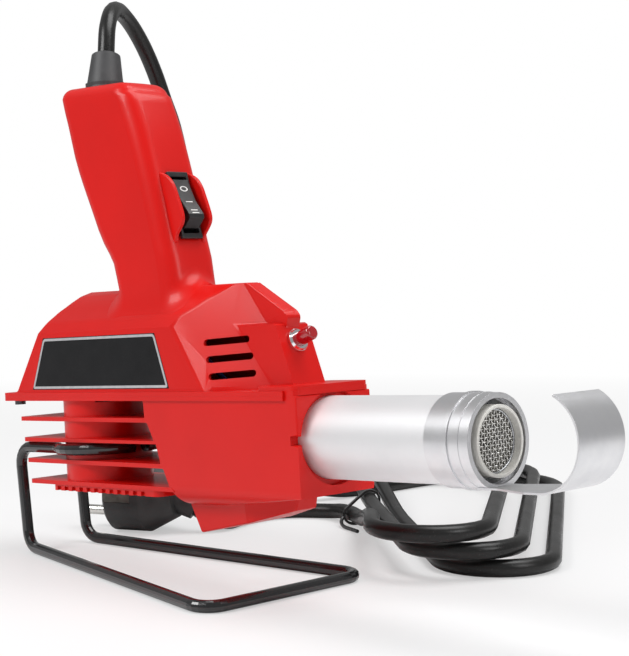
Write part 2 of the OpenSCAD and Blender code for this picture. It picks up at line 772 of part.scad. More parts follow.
exit_x = 11;
exit_z = 133.7;
relief_sunk = 0.6;
relief_base = 8.5;
relief_lean = 16;
relief_turn = 128;
grip_lean = 19.5;

// where the cord leaves the handle's top
module exit_place() {
  translate([exit_x, 0, exit_z]) children();
}

// the cord's bent course through the strain relief and into the handle
module exit_course(r, up, down) {
  exit_place() {
    rotate([0, 0, relief_turn]) rotate([0, relief_lean, 0]) translate([0, 0, -1])
      cylinder(r = r, h = up + 1);
    rotate([0, -grip_lean, 0]) translate([0, 0, -down]) cylinder(r = r, h = down + 1);
  }
}

module strain_relief() {
  color([0.12, 0.12, 0.13]) tool() difference() {
    union() {
      exit_place() translate([0, 0, touch - relief_sunk]) cylinder(r = relief_base, h = relief_sunk + 2);
      intersection() {
        exit_place() rotate([0, 0, relief_turn]) rotate([0, relief_lean, 0]) translate([0, 0, -3])
          cylinder(r1 = relief_base, r2 = cord_r + 2.6, h = relief_l + 3);
        exit_place() translate([-20, -20, 0.2 - relief_sunk]) cube([40, 40, 40]);
      }
      exit_place() rotate([0, -grip_lean, 0]) translate([0, 0, -8]) cylinder(r = 6.1, h = 8.6);
    }
    exit_course(cord_r + touch, relief_l + 5, 20);
  }
}

module cord_lead_in() {
  color([0.05, 0.05, 0.05]) tool() exit_course(cord_r, relief_l, 24);
}

// route of the cord from the strain relief to the hank, on the surface's axes
run_route = [[-107.1, 3.3, 221.8], [-108.1, 4.3, 225.9], [-111.2, 7.3, 234.5], [-116.4, 13, 241.6],
             [-123.2, 20.8, 245.8], [-130, 30, 245.8], [-135, 40, 241], [-138, 49, 232.5],
             [-139, 56, 221.5], [-138.4, 61, 209], [-136.6, 65.4, 195.4], [-135.4, 70.5, 173],
             [-136.6, 76, 150], [-140, 82, 125], [-144, 90, 100], [-148, 104, 72], [-151, 122, 45],
             [-152, 145, 22], [-149.5, 166, 9], [-146, 186, 4.4], [-143, 204, 3.8], [-141, 222, 3.8],
             [-141, 238.8, 3.8]];

module cord_run() {
  color([0.04, 0.04, 0.04]) sweep(smooth(run_route, 3), cord_r, 8);
}

// The hank is three long loops of one tube, each a layer above the last and moved along by hank_step.
// A loop is a belt round a wide far end and a narrow near end, and climbs along its left run.
hank_far = [-96, 247];
far_r = 45;
hank_near = [34.6, 109.8];
near_r = 24;
hank_step = [-7, -13];
hank_layer = cord_d + 0.5;
hank_loops = 3;
far_steps = 6;
run_steps = 3;
near_steps = 7;
climb_steps = 5;
end_steps = 3;
loop_steps = far_steps + run_steps + near_steps + climb_steps + end_steps;

hank_lean = atan2(hank_near[1] - hank_far[1], hank_near[0] - hank_far[0]);
hank_nip = asin((far_r - near_r) / norm(hank_near - hank_far));
right_at = hank_lean + 90 - hank_nip;
left_at = hank_lean - 90 + hank_nip;
hank_run = norm(hank_near - hank_far) * cos(hank_nip);
far_arc = far_r * PI * (180 - right_at) / 180;
near_arc = near_r * PI * (right_at - left_at) / 180;
end_arc = far_r * PI * (180 + left_at) / 180;
loop_length = far_arc + near_arc + end_arc + 2 * hank_run;

function round_end(centre, r, a) = centre + r * [cos(a), sin(a)];
function blend(a, b, f) = a + (b - a) * f;

// step i of a loop: its place on the belt and the length gone by
function belt(i) =
  i <= far_steps ? let (f = i / far_steps)
    [round_end(hank_far, far_r, blend(180, right_at, f)), far_arc * f] :
  i <= far_steps + run_steps ? let (f = (i - far_steps) / run_steps)
    [blend(round_end(hank_far, far_r, right_at), round_end(hank_near, near_r, right_at), f),
     far_arc + hank_run * f] :
  i <= far_steps + run_steps + near_steps ? let (f = (i - far_steps - run_steps) / near_steps)
    [round_end(hank_near, near_r, blend(right_at, left_at, f)), far_arc + hank_run + near_arc * f] :
  i <= loop_steps - end_steps ? let (f = (i - loop_steps + end_steps + climb_steps) / climb_steps)
    [blend(round_end(hank_near, near_r, left_at), round_end(hank_far, far_r, left_at), f),
     far_arc + hank_run + near_arc + hank_run * f] :
  let (f = (i - loop_steps + end_steps) / end_steps)
    [round_end(hank_far, far_r, blend(left_at, -180, f)), loop_length - end_arc * (1 - f)];

// how far a loop has climbed at step i, from 0 to 1
function climbed(i) =
  let (f = (i - loop_steps + end_steps + climb_steps) / climb_steps, g = min(max(2 * f - 1, 0), 1))
  g * g * (3 - 2 * g);

function hank_point(k, i) =
  let (b = belt(i), p = b[0] + (k + b[1] / loop_length) * hank_step)
  [p[0], p[1], run_route[len(run_route) - 1][2] + hank_layer * (k + climbed(i))];

// last run of the hank, down to the tie
hank_last = [[-14.4, 73.3, 19.4], [-32, 89.7, 15.8], [-49.5, 106.1, 10.8], [-64.4, 119.4, 7.2],
             [-78.1, 129.8, 5.5], [-84.3, 133.8, 5.2], [-91.7, 135.8, 5.2]];

hank_path = concat(
  [hank_point(0, 0) - [0, cord_d, 0]],
  [for (k = [0:hank_loops - 1], i = [0:loop_steps - 1])
     if (k < hank_loops - 1 || i <= loop_steps - end_steps - climb_steps) hank_point(k, i)],
  hank_last);

// least gap of the hank to itself, on points between its rings
hank_fine = [for (i = [0:len(hank_path) - 2], f = [0:0.25:0.75]) blend(hank_path[i], hank_path[i + 1], f)];
hank_along = [for (i = 0, d = 0; i < len(hank_fine); d = d + norm(hank_fine[min(i + 1, len(hank_fine) - 1)]
                                                              - hank_fine[i]), i = i + 1) d];
hank_gap = min([for (i = [0:len(hank_fine) - 2], j = [i + 1:len(hank_fine) - 1])
                  if (hank_along[j] - hank_along[i] > 6 * cord_d) norm(hank_fine[j] - hank_fine[i])])
           - cord_d;
echo(least_gap_in_hank = hank_gap);

module cord_hank() {
  color([0.04, 0.04, 0.04]) sweep(hank_path, cord_r, 6);
}

// ---------- tie, tail and plug ----------

// the strap's plane, square to the left runs
tie_place = [-75.8, 137.9, 0];
tie_turn = 141.25;
tie_end = [[-85.2, 128.4, 4.8], [-83.6, 124.8, 2.6], [-78.8, 121.6, 1.2], [-71.8, 118.9, 1.2],
           [-64.5, 116.5, 1.2]];

module tie_section(grow) {
  hull() {
    translate([0.45, 12.4]) circle(r = cord_r + seat + 0.2 + grow);
    translate([8.25, 5.3]) scale([1.15, 1]) circle(r = cord_r + seat + grow);
  }
}

module cord_tie() {
  color([0.05, 0.05, 0.05]) {
    translate(tie_place) rotate([0, 0, tie_turn]) rotate([90, 0, 90]) linear_extrude(height = 3)
      difference() {
        tie_section(1);
        tie_section(0);
      }
    sweep(smooth(tie_end, 3), 0.9, 8);
  }
}

// route of the cord from the tie to the plug
tail_route = [[-92, 135.88, 5.2], [-96.5, 136.75, 4.9], [-101.5, 136.8, 4.3], [-110.6, 133.7, 3.8],
              [-118.2, 127.5, 3.8], [-123.2, 119.3, 3.8], [-125.2, 109.9, 3.8], [-124.2, 100, 3.8],
              [-121.6, 91, 3.8], [-118.6, 82.5, 4], [-118.2, 75.2, 5.4], [-120.6, 69.9, 8.5],
              [-124.6, 66.8, 11.4]];

module cord_tail() {
  color([0.04, 0.04, 0.04]) sweep(smooth(tail_route, 3), cord_r, 8);
}

plug_at = [-160.6, 46.7];
plug_turn = 26.5;
plug_l = 33;
pin_r = 2.4;
pin_l = 19;
pin_step = 19;
sleeve_from = [-134.6, 59.6, 18.5];
sleeve_to = [-124.7, 66.7, 11.5];

module plug_place() {
  translate([plug_at[0], plug_at[1], plug_w / 2]) rotate([0, 0, plug_turn]) rotate([0, 90, 0]) children();
}

module plug_body() {
  color([0.05, 0.05, 0.05]) union() {
    plug_place() difference() {
      union() {
        cylinder(r1 = plug_w / 2 - 1.5, r2 = plug_w / 2, h = 1.5);
        translate([0, 0, 1.5]) cylinder(r = plug_w / 2, h = 17.5);
        translate([0, 0, 19]) cylinder(r1 = plug_w / 2, r2 = 11, h = plug_l - 19);
      }
      for (x = [-pin_step / 2, pin_step / 2]) translate([x, 0, -1]) cylinder(r = pin_r + touch, h = 9);
      // grooves of the earth contacts
      for (a = [0, 180]) rotate([0, 0, a]) translate([-2.6, plug_w / 2 - 1.6, -1]) cube([5.2, 4, 16]);
    }
    // flexible sleeve, bent down to where the cord lies
    translate(sleeve_from) rotate([0, acos((sleeve_to - sleeve_from)[2] / norm(sleeve_to - sleeve_from)),
                                   atan2((sleeve_to - sleeve_from)[1], (sleeve_to - sleeve_from)[0])])
      cylinder(r1 = 8, r2 = cord_r + 1.8, h = norm(sleeve_to - sleeve_from));
  }
}

module plug_pins() {
  color([0.75, 0.75, 0.76]) plug_place() for (x = [-pin_step / 2, pin_step / 2]) translate([x, 0, 0]) {
    translate([0, 0, 1.2 - pin_l]) cylinder(r = pin_r, h = pin_l + 6.8);
    translate([0, 0, -pin_l]) cylinder(r1 = pin_r - 1.1, r2 = pin_r, h = 1.2 + e);
  }
}

module plug_earth_contacts() {
  color([0.75, 0.7, 0.5]) plug_place() for (a = [0, 180]) rotate([0, 0, a])
    translate([-2.5, plug_w / 2 - 1.6 + touch, 1]) cube([5, 0.9, 14 - touch]);
}

upper_housing();
lower_housing();
housing_screws();
intake_grille();
label_plate();
switch_frame();
switch_body();
switch_terminals();
rocker();
lamp_bezel();
lamp_lens();
lamp_body();
barrel();
heater_tube();
tube_spacers();
element_former();
heating_coil();
mesh_screen();
thermal_cutoff();
reflector();
motor_can();
motor_magnets();
motor_end_cap();
motor_brushes();
bearings();
motor_mount();
motor_shaft();
armature_core();
armature_windings();
commutator();
impeller();
wire_stand();
inner_leads();
strain_relief();
cord_lead_in();
cord_run();
cord_hank();
cord_tie();
cord_tail();
plug_body();
plug_pins();
plug_earth_contacts();
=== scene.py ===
"""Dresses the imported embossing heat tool: its looks, its mains lead, the studio and the camera.

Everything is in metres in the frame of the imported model. Sizes that are given in millimetres are
turned into metres by the helper mm().
"""

import logging
import math
from dataclasses import dataclass, field
from enum import Enum
from typing import Callable, Iterable, Sequence

import bmesh
import bpy
from mathutils import Matrix, Vector


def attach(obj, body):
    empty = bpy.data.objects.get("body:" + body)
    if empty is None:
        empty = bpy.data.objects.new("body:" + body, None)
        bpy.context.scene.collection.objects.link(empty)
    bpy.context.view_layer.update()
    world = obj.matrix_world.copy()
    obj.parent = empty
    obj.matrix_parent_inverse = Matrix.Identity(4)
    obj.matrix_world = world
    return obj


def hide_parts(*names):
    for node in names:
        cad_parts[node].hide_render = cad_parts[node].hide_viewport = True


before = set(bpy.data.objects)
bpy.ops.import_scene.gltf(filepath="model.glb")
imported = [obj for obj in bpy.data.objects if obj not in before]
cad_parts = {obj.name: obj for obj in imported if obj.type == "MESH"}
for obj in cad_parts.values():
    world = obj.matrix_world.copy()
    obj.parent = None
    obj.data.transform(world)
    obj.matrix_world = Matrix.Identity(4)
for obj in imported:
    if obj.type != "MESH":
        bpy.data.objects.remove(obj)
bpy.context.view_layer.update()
log = logging.getLogger("heat_tool")

Triple = tuple[float, float, float]


def mm(*sizes: float) -> Vector | float:
    """Millimetres as metres: one number, or a vector of three."""
    return sizes[0] / 1000 if len(sizes) == 1 else Vector(sizes) / 1000


# ---------------------------------------------------------------- shader maths


class Wire:
    """An output socket that can be used in Python expressions."""

    def __init__(self, board: "Board", socket: bpy.types.NodeSocket) -> None:
        """Wraps a socket of a board's node tree."""
        self.board = board
        self.socket = socket

    def _math(self, operation: str, a: "Wire | float", b: "Wire | float") -> "Wire":
        """Adds a Math node with the two inputs."""
        return self.board.node("ShaderNodeMath", {"operation": operation}, {0: a, 1: b})

    def __add__(self, other: "Wire | float") -> "Wire":
        """self + other."""
        return self._math("ADD", self, other)

    def __mul__(self, other: "Wire | float") -> "Wire":
        """self * other."""
        return self._math("MULTIPLY", self, other)

    def __radd__(self, other: float) -> "Wire":
        """other + self."""
        return self._math("ADD", other, self)

    def __rmul__(self, other: float) -> "Wire":
        """other * self."""
        return self._math("MULTIPLY", other, self)

    def between(self, low: float, high: float) -> "Wire":
        """This value spread from low..high to 0..1, clamped."""
        return self.board.node("ShaderNodeMapRange", {"clamp": True}, {0: self, 1: low, 2: high})


class Board:
    """The node tree of one material or world."""

    # The Mix node's sockets for colours, by number.
    MIX_FIRST, MIX_SECOND, MIX_RESULT = 6, 7, 2

    def __init__(self, owner: bpy.types.Material | bpy.types.World) -> None:
        """Empties the owner's node tree."""
        owner.use_nodes = True
        self.owner = owner
        self.tree = owner.node_tree
        self.tree.nodes.clear()

    def node(self, kind: str, settings: dict, inputs: dict, out: int | str = 0) -> Wire:
        """Adds a node.

        Args:
            kind: the node's type.
            settings: its own properties, set first.
            inputs: values or wires for its sockets, by number or name.
            out: the output socket that is returned.

        Returns:
            The output as a wire.
        """
        made = self.tree.nodes.new(kind)
        for key, value in settings.items():
            setattr(made, key, value)
        for key, value in inputs.items():
            if isinstance(value, Wire):
                self.tree.links.new(value.socket, made.inputs[key])
            else:
                made.inputs[key].default_value = value
        return Wire(self, made.outputs[out])

    def place(self, stretch: Triple = (1, 1, 1), turn: Triple = (0, 0, 0)) -> Wire:
        """Object coordinates, turned by degrees and stretched."""
        spot = self.node("ShaderNodeTexCoord", {}, {}, "Object")
        angles = tuple(math.radians(t) for t in turn)
        return self.node(
            "ShaderNodeMapping", {}, {"Vector": spot, "Rotation": angles, "Scale": stretch})

    def noise(self, place: Wire, size: float, detail: float) -> Wire:
        """Noise whose features are about size metres across."""
        return self.node(
            "ShaderNodeTexNoise", {}, {"Vector": place, "Scale": 1 / size, "Detail": detail})

    def blend(self, a: Triple | Wire, b: Triple | Wire, share: Wire | float) -> Wire:
        """Two colours mixed by a share."""
        def full(c: Triple | Wire) -> tuple | Wire:
            """A colour with its alpha."""
            return c if isinstance(c, Wire) else (*c, 1)
        return self.node(
            "ShaderNodeMix", {"data_type": "RGBA"},
            {0: share, self.MIX_FIRST: full(a), self.MIX_SECOND: full(b)}, self.MIX_RESULT)

    def bump(self, height: Wire, depth: float) -> Wire:
        """A normal from a height of 0..1 that is depth metres deep."""
        return self.node(
            "ShaderNodeBump", {}, {"Strength": 1.0, "Distance": depth, "Height": height})

    def principled(self, **sockets: object) -> Wire:
        """A Principled shader with these sockets, their spaces written as underscores."""
        named = {key.replace("_", " "): value for key, value in sockets.items()}
        return self.node("ShaderNodeBsdfPrincipled", {}, named)

    def end_in(self, surface: Wire) -> None:
        """Links a surface to the owner's output."""
        kind = "World" if isinstance(self.owner, bpy.types.World) else "Material"
        end = self.tree.nodes.new("ShaderNodeOutput" + kind)
        self.tree.links.new(surface.socket, end.inputs["Surface"])


# ---------------------------------------------------------------- finishes


# Between which noise values the slow patches and the specks of dust fade in.
PATCH_EDGES = (0.3, 0.7)
DUST_EDGES = (0.72, 0.78)
DUST_COLOUR: Triple = (0.75, 0.75, 0.75)
# The dust's size against the grain's, and the grain's share in roughness against the patches'.
DUST_SIZE = 0.9
GRAIN_SHARE = 0.6
COAT_ROUGHNESS = 0.12


@dataclass(frozen=True)
class Finish:
    """A surface: its colour with slow patches, its gloss and its fine grain.

    Patch and grain are the sizes of their features and depth is the grain's, all in metres.
    Spread is how far the roughness wanders, stretch and turn (degrees) draw the grain out,
    speck is the strength of pale dust and level the specular level.
    """

    name: str
    colour: Triple
    second: Triple
    roughness: float
    metallic: float = 0.0
    patch: float = 0.012
    spread: float = 0.08
    grain: float = 0.0006
    depth: float = 0.00001
    stretch: Triple = (1, 1, 1)
    turn: Triple = (0, 0, 0)
    coat: float = 0.0
    speck: float = 0.0
    level: float = 0.5

    def material(self) -> bpy.types.Material:
        """Builds the finish, or gives the one already built."""
        made = bpy.data.materials.get(self.name)
        if made:
            return made
        made = bpy.data.materials.new(self.name)
        board = Board(made)
        plain = board.place()
        patch = board.noise(plain, self.patch, 4).between(*PATCH_EDGES)
        colour = board.blend(self.colour, self.second, patch)
        grain = board.noise(board.place(self.stretch, self.turn), self.grain, 2)
        fine = self.spread * GRAIN_SHARE
        rough = patch * self.spread + grain * fine + (self.roughness - (self.spread + fine) / 2)
        if self.speck:
            dust = board.noise(plain, self.grain * DUST_SIZE, 0).between(*DUST_EDGES)
            colour = board.blend(colour, DUST_COLOUR, dust * self.speck)
        board.end_in(board.principled(
            Base_Color=colour, Metallic=self.metallic, Roughness=rough, Coat_Weight=self.coat,
            Coat_Roughness=COAT_ROUGHNESS, Specular_IOR_Level=self.level,
            Normal=board.bump(grain, self.depth)))
        return made


RED = Finish("red_housing", (0.67, 0.006, 0.004), (0.62, 0.005, 0.003), 0.36, patch=0.03,
             spread=0.05, grain=0.0011, level=0.22, coat=0.14)
BLACK_SATIN = Finish("black_switch_plastic", (0.014, 0.014, 0.015), (0.02, 0.02, 0.021), 0.32,
                     patch=0.004, grain=0.0004)
LABEL = Finish("label_black", (0.008, 0.008, 0.009), (0.012, 0.012, 0.013), 0.42, patch=0.008,
               grain=0.0005, stretch=(1, 1, 14), speck=0.01, level=0.15)
SILVER_INK = Finish("silver_ink", (0.62, 0.62, 0.63), (0.5, 0.5, 0.52), 0.4, 0.5, patch=0.003)
MARK_WHITE = Finish("mark_white", (0.82, 0.82, 0.8), (0.75, 0.75, 0.73), 0.5, patch=0.001)
BARREL = Finish("satin_barrel", (0.82, 0.82, 0.83), (0.77, 0.77, 0.78), 0.5, 0.6, patch=0.02,
                spread=0.1, grain=0.0005, depth=0.000006)
ROLLED = Finish("rolled_sheet", (0.76, 0.76, 0.77), (0.68, 0.68, 0.70), 0.36, 0.95, patch=0.01,
                grain=0.0005, depth=0.000003, stretch=(0.06, 1, 1), turn=(0, -3.6, 0))
CHROME = Finish("bezel_chrome", (0.82, 0.82, 0.84), (0.76, 0.76, 0.78), 0.12, 1.0, patch=0.003)
LENS = Finish("lamp_lens_red", (0.42, 0.004, 0.010), (0.30, 0.002, 0.006), 0.12, patch=0.004,
              coat=0.8)
NYLON = Finish("white_nylon", (0.7, 0.7, 0.66), (0.62, 0.62, 0.58), 0.5)
CERAMIC = Finish("tube_ceramic", (0.80, 0.79, 0.75), (0.70, 0.68, 0.63), 0.6, grain=0.0003,
                 depth=0.00003, speck=0.1)
MICA = Finish("mica_board", (0.55, 0.47, 0.32), (0.42, 0.35, 0.24), 0.4, patch=0.003, speck=0.4)
HOT_WIRE = Finish("resistance_wire", (0.35, 0.31, 0.29), (0.24, 0.2, 0.19), 0.45, 1.0, patch=0.003)
MESH_WIRE = Finish("screen_wire", (0.80, 0.79, 0.77), (0.66, 0.65, 0.62), 0.3, 0.9, patch=0.004)
STEEL = Finish("plated_steel", (0.55, 0.56, 0.58), (0.47, 0.48, 0.5), 0.3, 1.0, patch=0.006,
               stretch=(1, 1, 0.08))
DARK_STEEL = Finish("dark_screw", (0.12, 0.12, 0.13), (0.08, 0.08, 0.085), 0.35, 1.0, patch=0.002)
FERRITE = Finish("ferrite", (0.06, 0.06, 0.065), (0.09, 0.09, 0.095), 0.7, grain=0.0003,
                 depth=0.00004)
BLACK_NYLON = Finish("black_nylon", (0.03, 0.03, 0.031), (0.045, 0.045, 0.046), 0.5)
CARBON = Finish("carbon", (0.03, 0.03, 0.03), (0.06, 0.055, 0.05), 0.75, grain=0.0002)
BRONZE = Finish("sintered_bronze", (0.5, 0.34, 0.16), (0.4, 0.26, 0.12), 0.5, 1.0, patch=0.001)
COPPER = Finish("enamelled_copper", (0.62, 0.24, 0.10), (0.48, 0.17, 0.07), 0.28, 1.0, patch=0.002,
                grain=0.0007, stretch=(1, 1, 0.1), depth=0.00008)
BRASS = Finish("contact_brass", (0.72, 0.58, 0.28), (0.6, 0.46, 0.2), 0.3, 1.0, patch=0.003)
CONTACT = Finish("contact_dull", (0.16, 0.15, 0.13), (0.1, 0.095, 0.085), 0.5, 0.8, patch=0.003)
NICKEL = Finish("pin_nickel", (0.68, 0.67, 0.64), (0.6, 0.59, 0.56), 0.25, 1.0, patch=0.004)
STAND = Finish("stand_gloss", (0.008, 0.008, 0.009), (0.012, 0.012, 0.013), 0.16, patch=0.01,
               spread=0.06, grain=0.0014, depth=0.00002, coat=0.5)
LEAD_BLUE = Finish("inner_lead", (0.05, 0.12, 0.4), (0.04, 0.09, 0.33), 0.4)
RELIEF = Finish("relief_rubber", (0.035, 0.036, 0.038), (0.05, 0.051, 0.053), 0.52, patch=0.004,
                grain=0.0004, depth=0.00003)
SHEATH = Finish("sheath_rubber", (0.008, 0.008, 0.008), (0.013, 0.0125, 0.012), 0.31, patch=0.02,
                spread=0.1, grain=0.0007, depth=0.00002, speck=0.03, level=0.34)
PLUG = Finish("plug_rubber", (0.018, 0.018, 0.018), (0.03, 0.03, 0.03), 0.5, patch=0.006,
              depth=0.00004)
TIE = Finish("tie_plastic", (0.016, 0.016, 0.016), (0.03, 0.03, 0.03), 0.3, patch=0.003)


# ---------------------------------------------------------------- modelling helpers

# Corners closer than this many metres are one corner, on CAD copies and on curves.
SAME_SPOT = 1e-6
CURVE_SPOT = 1e-7
# Faces that meet at less than this many degrees are one face.
FLUSH = 0.5
# Faces at less than this many degrees to each other count as nearly in line.
IN_LINE = 12
# An edge is rounded where its faces turn by an angle between these two, in degrees.
ROUNDED = (14, 170)
# A slab's rims are the edges where its faces turn by more than this many degrees.
RIM = 60
# The room that a rounding needs beside an edge and along the edges at its ends, in widths.
SIDE_ROOM = 1.8
END_ROOM = 2.2


class Body(Enum):
    """The bodies of the tool that new pieces ride on."""

    ROOT = "root"
    ROCKER = "rocker"
    REFLECTOR = "reflector"


def dress(finish: Finish, *nodes: str) -> None:
    """Gives CAD nodes a finish."""
    for name in nodes:
        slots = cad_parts[name].data.materials
        slots.clear()
        slots.append(finish.material())
        log.info("%s: %s", name, finish.name)


def add_mesh(name: str, bm: bmesh.types.BMesh, finish: Finish, body: Body) -> bpy.types.Object:
    """Turns a bmesh into a piece of the tool.

    Args:
        name: the piece's name.
        bm: its shape, in the row frame.
        finish: its surface.
        body: the body that carries it.

    Returns:
        The new object, at the origin.
    """
    mesh = bpy.data.meshes.new(name)
    bm.to_mesh(mesh)
    bm.free()
    made = bpy.data.objects.new(name, mesh)
    bpy.context.scene.collection.objects.link(made)
    mesh.materials.append(finish.material())
    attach(made, body.value)
    log.info("%s: %d faces, %s", name, len(mesh.polygons), finish.name)
    return made


def even_normals(mesh: bpy.types.Mesh, limit: float = 38, flat: float = 4e-5) -> None:
    """Gives a mesh normals weighed by area, so that flats stay flat and roundings run smooth.

    Args:
        mesh: the mesh.
        limit: faces that meet at more than this many degrees stay sharp.
        flat: a face of more than this area blends only with faces nearly in line with it.
    """
    bm = bmesh.new()
    bm.from_mesh(mesh)
    area = [f.calc_area() for f in bm.faces]
    wide, tight = (math.cos(math.radians(angle)) for angle in (limit, IN_LINE))
    normals = []
    for face in bm.faces:
        least = tight if area[face.index] > flat else wide
        for loop in face.loops:
            near = [f for f in loop.vert.link_faces if f.normal.dot(face.normal) > least]
            total = sum((f.normal * area[f.index] for f in near), Vector())
            normals.append(tuple(total.normalized() if total.length > 0 else face.normal))
    bm.free()
    for face in mesh.polygons:
        face.use_smooth = True
    mesh.normals_split_custom_set(normals)


def round_off(bm: bmesh.types.BMesh, parts: Sequence, width: float, segments: int = 3,
              affect: str = "EDGES", clamp: bool = False) -> None:
    """Rounds edges or corners of a mesh.

    Args:
        bm: the mesh.
        parts: its edges or corners.
        width: the rounding's width in metres.
        segments: the steps across it.
        affect: EDGES or VERTICES.
        clamp: keeps the roundings from crossing.
    """
    bmesh.ops.bevel(bm, geom=parts, offset=width, affect=affect, segments=segments, profile=0.5,
                    material=-1, clamp_overlap=clamp)


def thicken(bm: bmesh.types.BMesh, step: Vector) -> None:
    """Gives a sheet a thickness of one step and turns its faces outwards."""
    made = bmesh.ops.extrude_face_region(bm, geom=list(bm.faces))
    moved = [v for v in made["geom"] if isinstance(v, bmesh.types.BMVert)]
    bmesh.ops.translate(bm, verts=moved, vec=step)
    bmesh.ops.recalc_face_normals(bm, faces=bm.faces)


def raised_frame(bm: bmesh.types.BMesh, width: float, rise: float) -> None:
    """Turns a mesh of one flat face into a frame along that face's outline.

    Args:
        bm: the mesh, its face in the XY plane.
        width: the frame's width in metres.
        rise: its height in metres.
    """
    bm.normal_update()
    bmesh.ops.inset_region(bm, faces=list(bm.faces), thickness=width, use_even_offset=True,
                           use_boundary=True)
    core = max(bm.faces, key=lambda f: f.calc_area())
    bmesh.ops.delete(bm, geom=[core], context="FACES")
    thicken(bm, Vector((0, 0, rise)))


def softened(node: str, width: float, finish: Finish, body: Body, least: float = 0.0,
             cut: Callable[[bmesh.types.BMesh], None] | None = None, clamp: bool = True) -> None:
    """Puts a copy of a CAD node with its sharp edges rounded in the node's place.

    Args:
        node: the CAD node.
        width: the rounding's width in metres.
        finish: its surface.
        body: the body that carries it.
        least: shorter edges stay as they are.
        cut: takes away what another piece makes.
        clamp: narrows roundings that would cross. Without it, edges that have no room for the
            whole width stay sharp.
    """
    bm = bmesh.new()
    bm.from_mesh(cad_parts[node].data)
    bmesh.ops.remove_doubles(bm, verts=bm.verts, dist=SAME_SPOT)
    if cut:
        cut(bm)
    bmesh.ops.dissolve_limit(bm, angle_limit=math.radians(FLUSH), verts=bm.verts, edges=bm.edges)
    room = 0.0 if clamp else width
    dull, sharp = (math.radians(angle) for angle in ROUNDED)
    edges = [e for e in bm.edges if e.is_manifold and e.calc_length() > least
             and dull < e.calc_face_angle() < sharp
             and all(f.calc_area() > SIDE_ROOM * room * e.calc_length() for f in e.link_faces)
             and all(o.calc_length() > END_ROOM * room for v in e.verts for o in v.link_edges)]
    round_off(bm, edges, width, clamp=clamp)
    bmesh.ops.triangulate(bm, faces=[f for f in bm.faces if len(f.verts) > 4])
    made = add_mesh(node + "_rounded", bm, finish, body)
    even_normals(made.data)
    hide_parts(node)


def round_curve(name: str, runs: Iterable[Sequence[Vector]], radius: float, fineness: int,
                closed: bool = False) -> bpy.types.Object:
    """A curve object of round section along the given lines.

    Args:
        name: its name.
        runs: the centre lines, in metres.
        radius: the section's radius.
        fineness: half the section's sides, less two.
        closed: whether each line is a ring.

    Returns:
        The new object.
    """
    curve = bpy.data.curves.new(name, "CURVE")
    curve.dimensions = "3D"
    curve.bevel_depth = radius
    curve.bevel_resolution = fineness
    curve.use_fill_caps = not closed
    for run in runs:
        spline = curve.splines.new("POLY")
        spline.points.add(len(run) - 1)
        for point, spot in zip(spline.points, run):
            point.co = (*spot, 1)
        spline.use_cyclic_u = closed
        spline.use_smooth = True
    made = bpy.data.objects.new(name, curve)
    bpy.context.scene.collection.objects.link(made)
    return made


def tube(name: str, runs: Iterable[Sequence[Vector]], radius: float, fineness: int, finish: Finish,
         body: Body, closed: bool = False) -> bpy.types.Object:
    """One mesh of round wires along the given lines.

    Args:
        name: the piece's name.
        runs: the centre lines, in metres.
        radius: the wire's radius.
        fineness: half the wire's sides, less two.
        finish: its surface.
        body: the body that carries it.
        closed: whether each line is a ring.

    Returns:
        The new object.
    """
    shape = round_curve(name + "_line", runs, radius, fineness, closed)
    bpy.context.view_layer.update()
    depsgraph = bpy.context.evaluated_depsgraph_get()
    mesh = bpy.data.meshes.new_from_object(shape.evaluated_get(depsgraph))
    bpy.data.objects.remove(shape)
    bm = bmesh.new()
    bm.from_mesh(mesh)
    bpy.data.meshes.remove(mesh)
    bmesh.ops.remove_doubles(bm, verts=bm.verts, dist=CURVE_SPOT)
    bmesh.ops.recalc_face_normals(bm, faces=bm.faces)
    for face in bm.faces:
        face.smooth = True
    return add_mesh(name, bm, finish, body)


def smooth_line(points: Sequence[Vector], steps: int) -> list[Vector]:
    """A Catmull-Rom line through the points, as in the part's source.

    Args:
        points: the route's points.
        steps: steps between two of them.

    Returns:
        The finer line.
    """
    line = []
    for i in range(len(points) - 1):
        a, b, c = points[max(i - 1, 0)], points[i], points[i + 1]
        d = points[min(i + 2, len(points) - 1)]
        for k in range(steps):
            t = k / steps
            line.append(0.5 * (2 * b + (c - a) * t + (2 * a - 5 * b + 4 * c - d) * t ** 2
                               + (3 * b - a - 3 * c + d) * t ** 3))
    return line + [points[-1]]


@dataclass(frozen=True)
class Stance:
    """How the stand holds the housing's own frame in the row frame."""

    middle: float = 106.1445
    height: float = 73.2
    tilt: float = 3.6

    def tool(self) -> Matrix:
        """The housing's frame."""
        return Matrix.Translation(mm(-self.middle, 0, self.height)) @ Matrix.Rotation(
            math.radians(-self.tilt), 4, "Y")

    def at(self, spot: Triple, lean: float) -> Matrix:
        """A frame at a spot of the housing, turned about Y by lean degrees."""
        turn = Matrix.Rotation(math.radians(lean), 4, "Y")
        return self.tool() @ Matrix.Translation(mm(*spot)) @ turn


STANCE = Stance()


# ---------------------------------------------------------------- studio


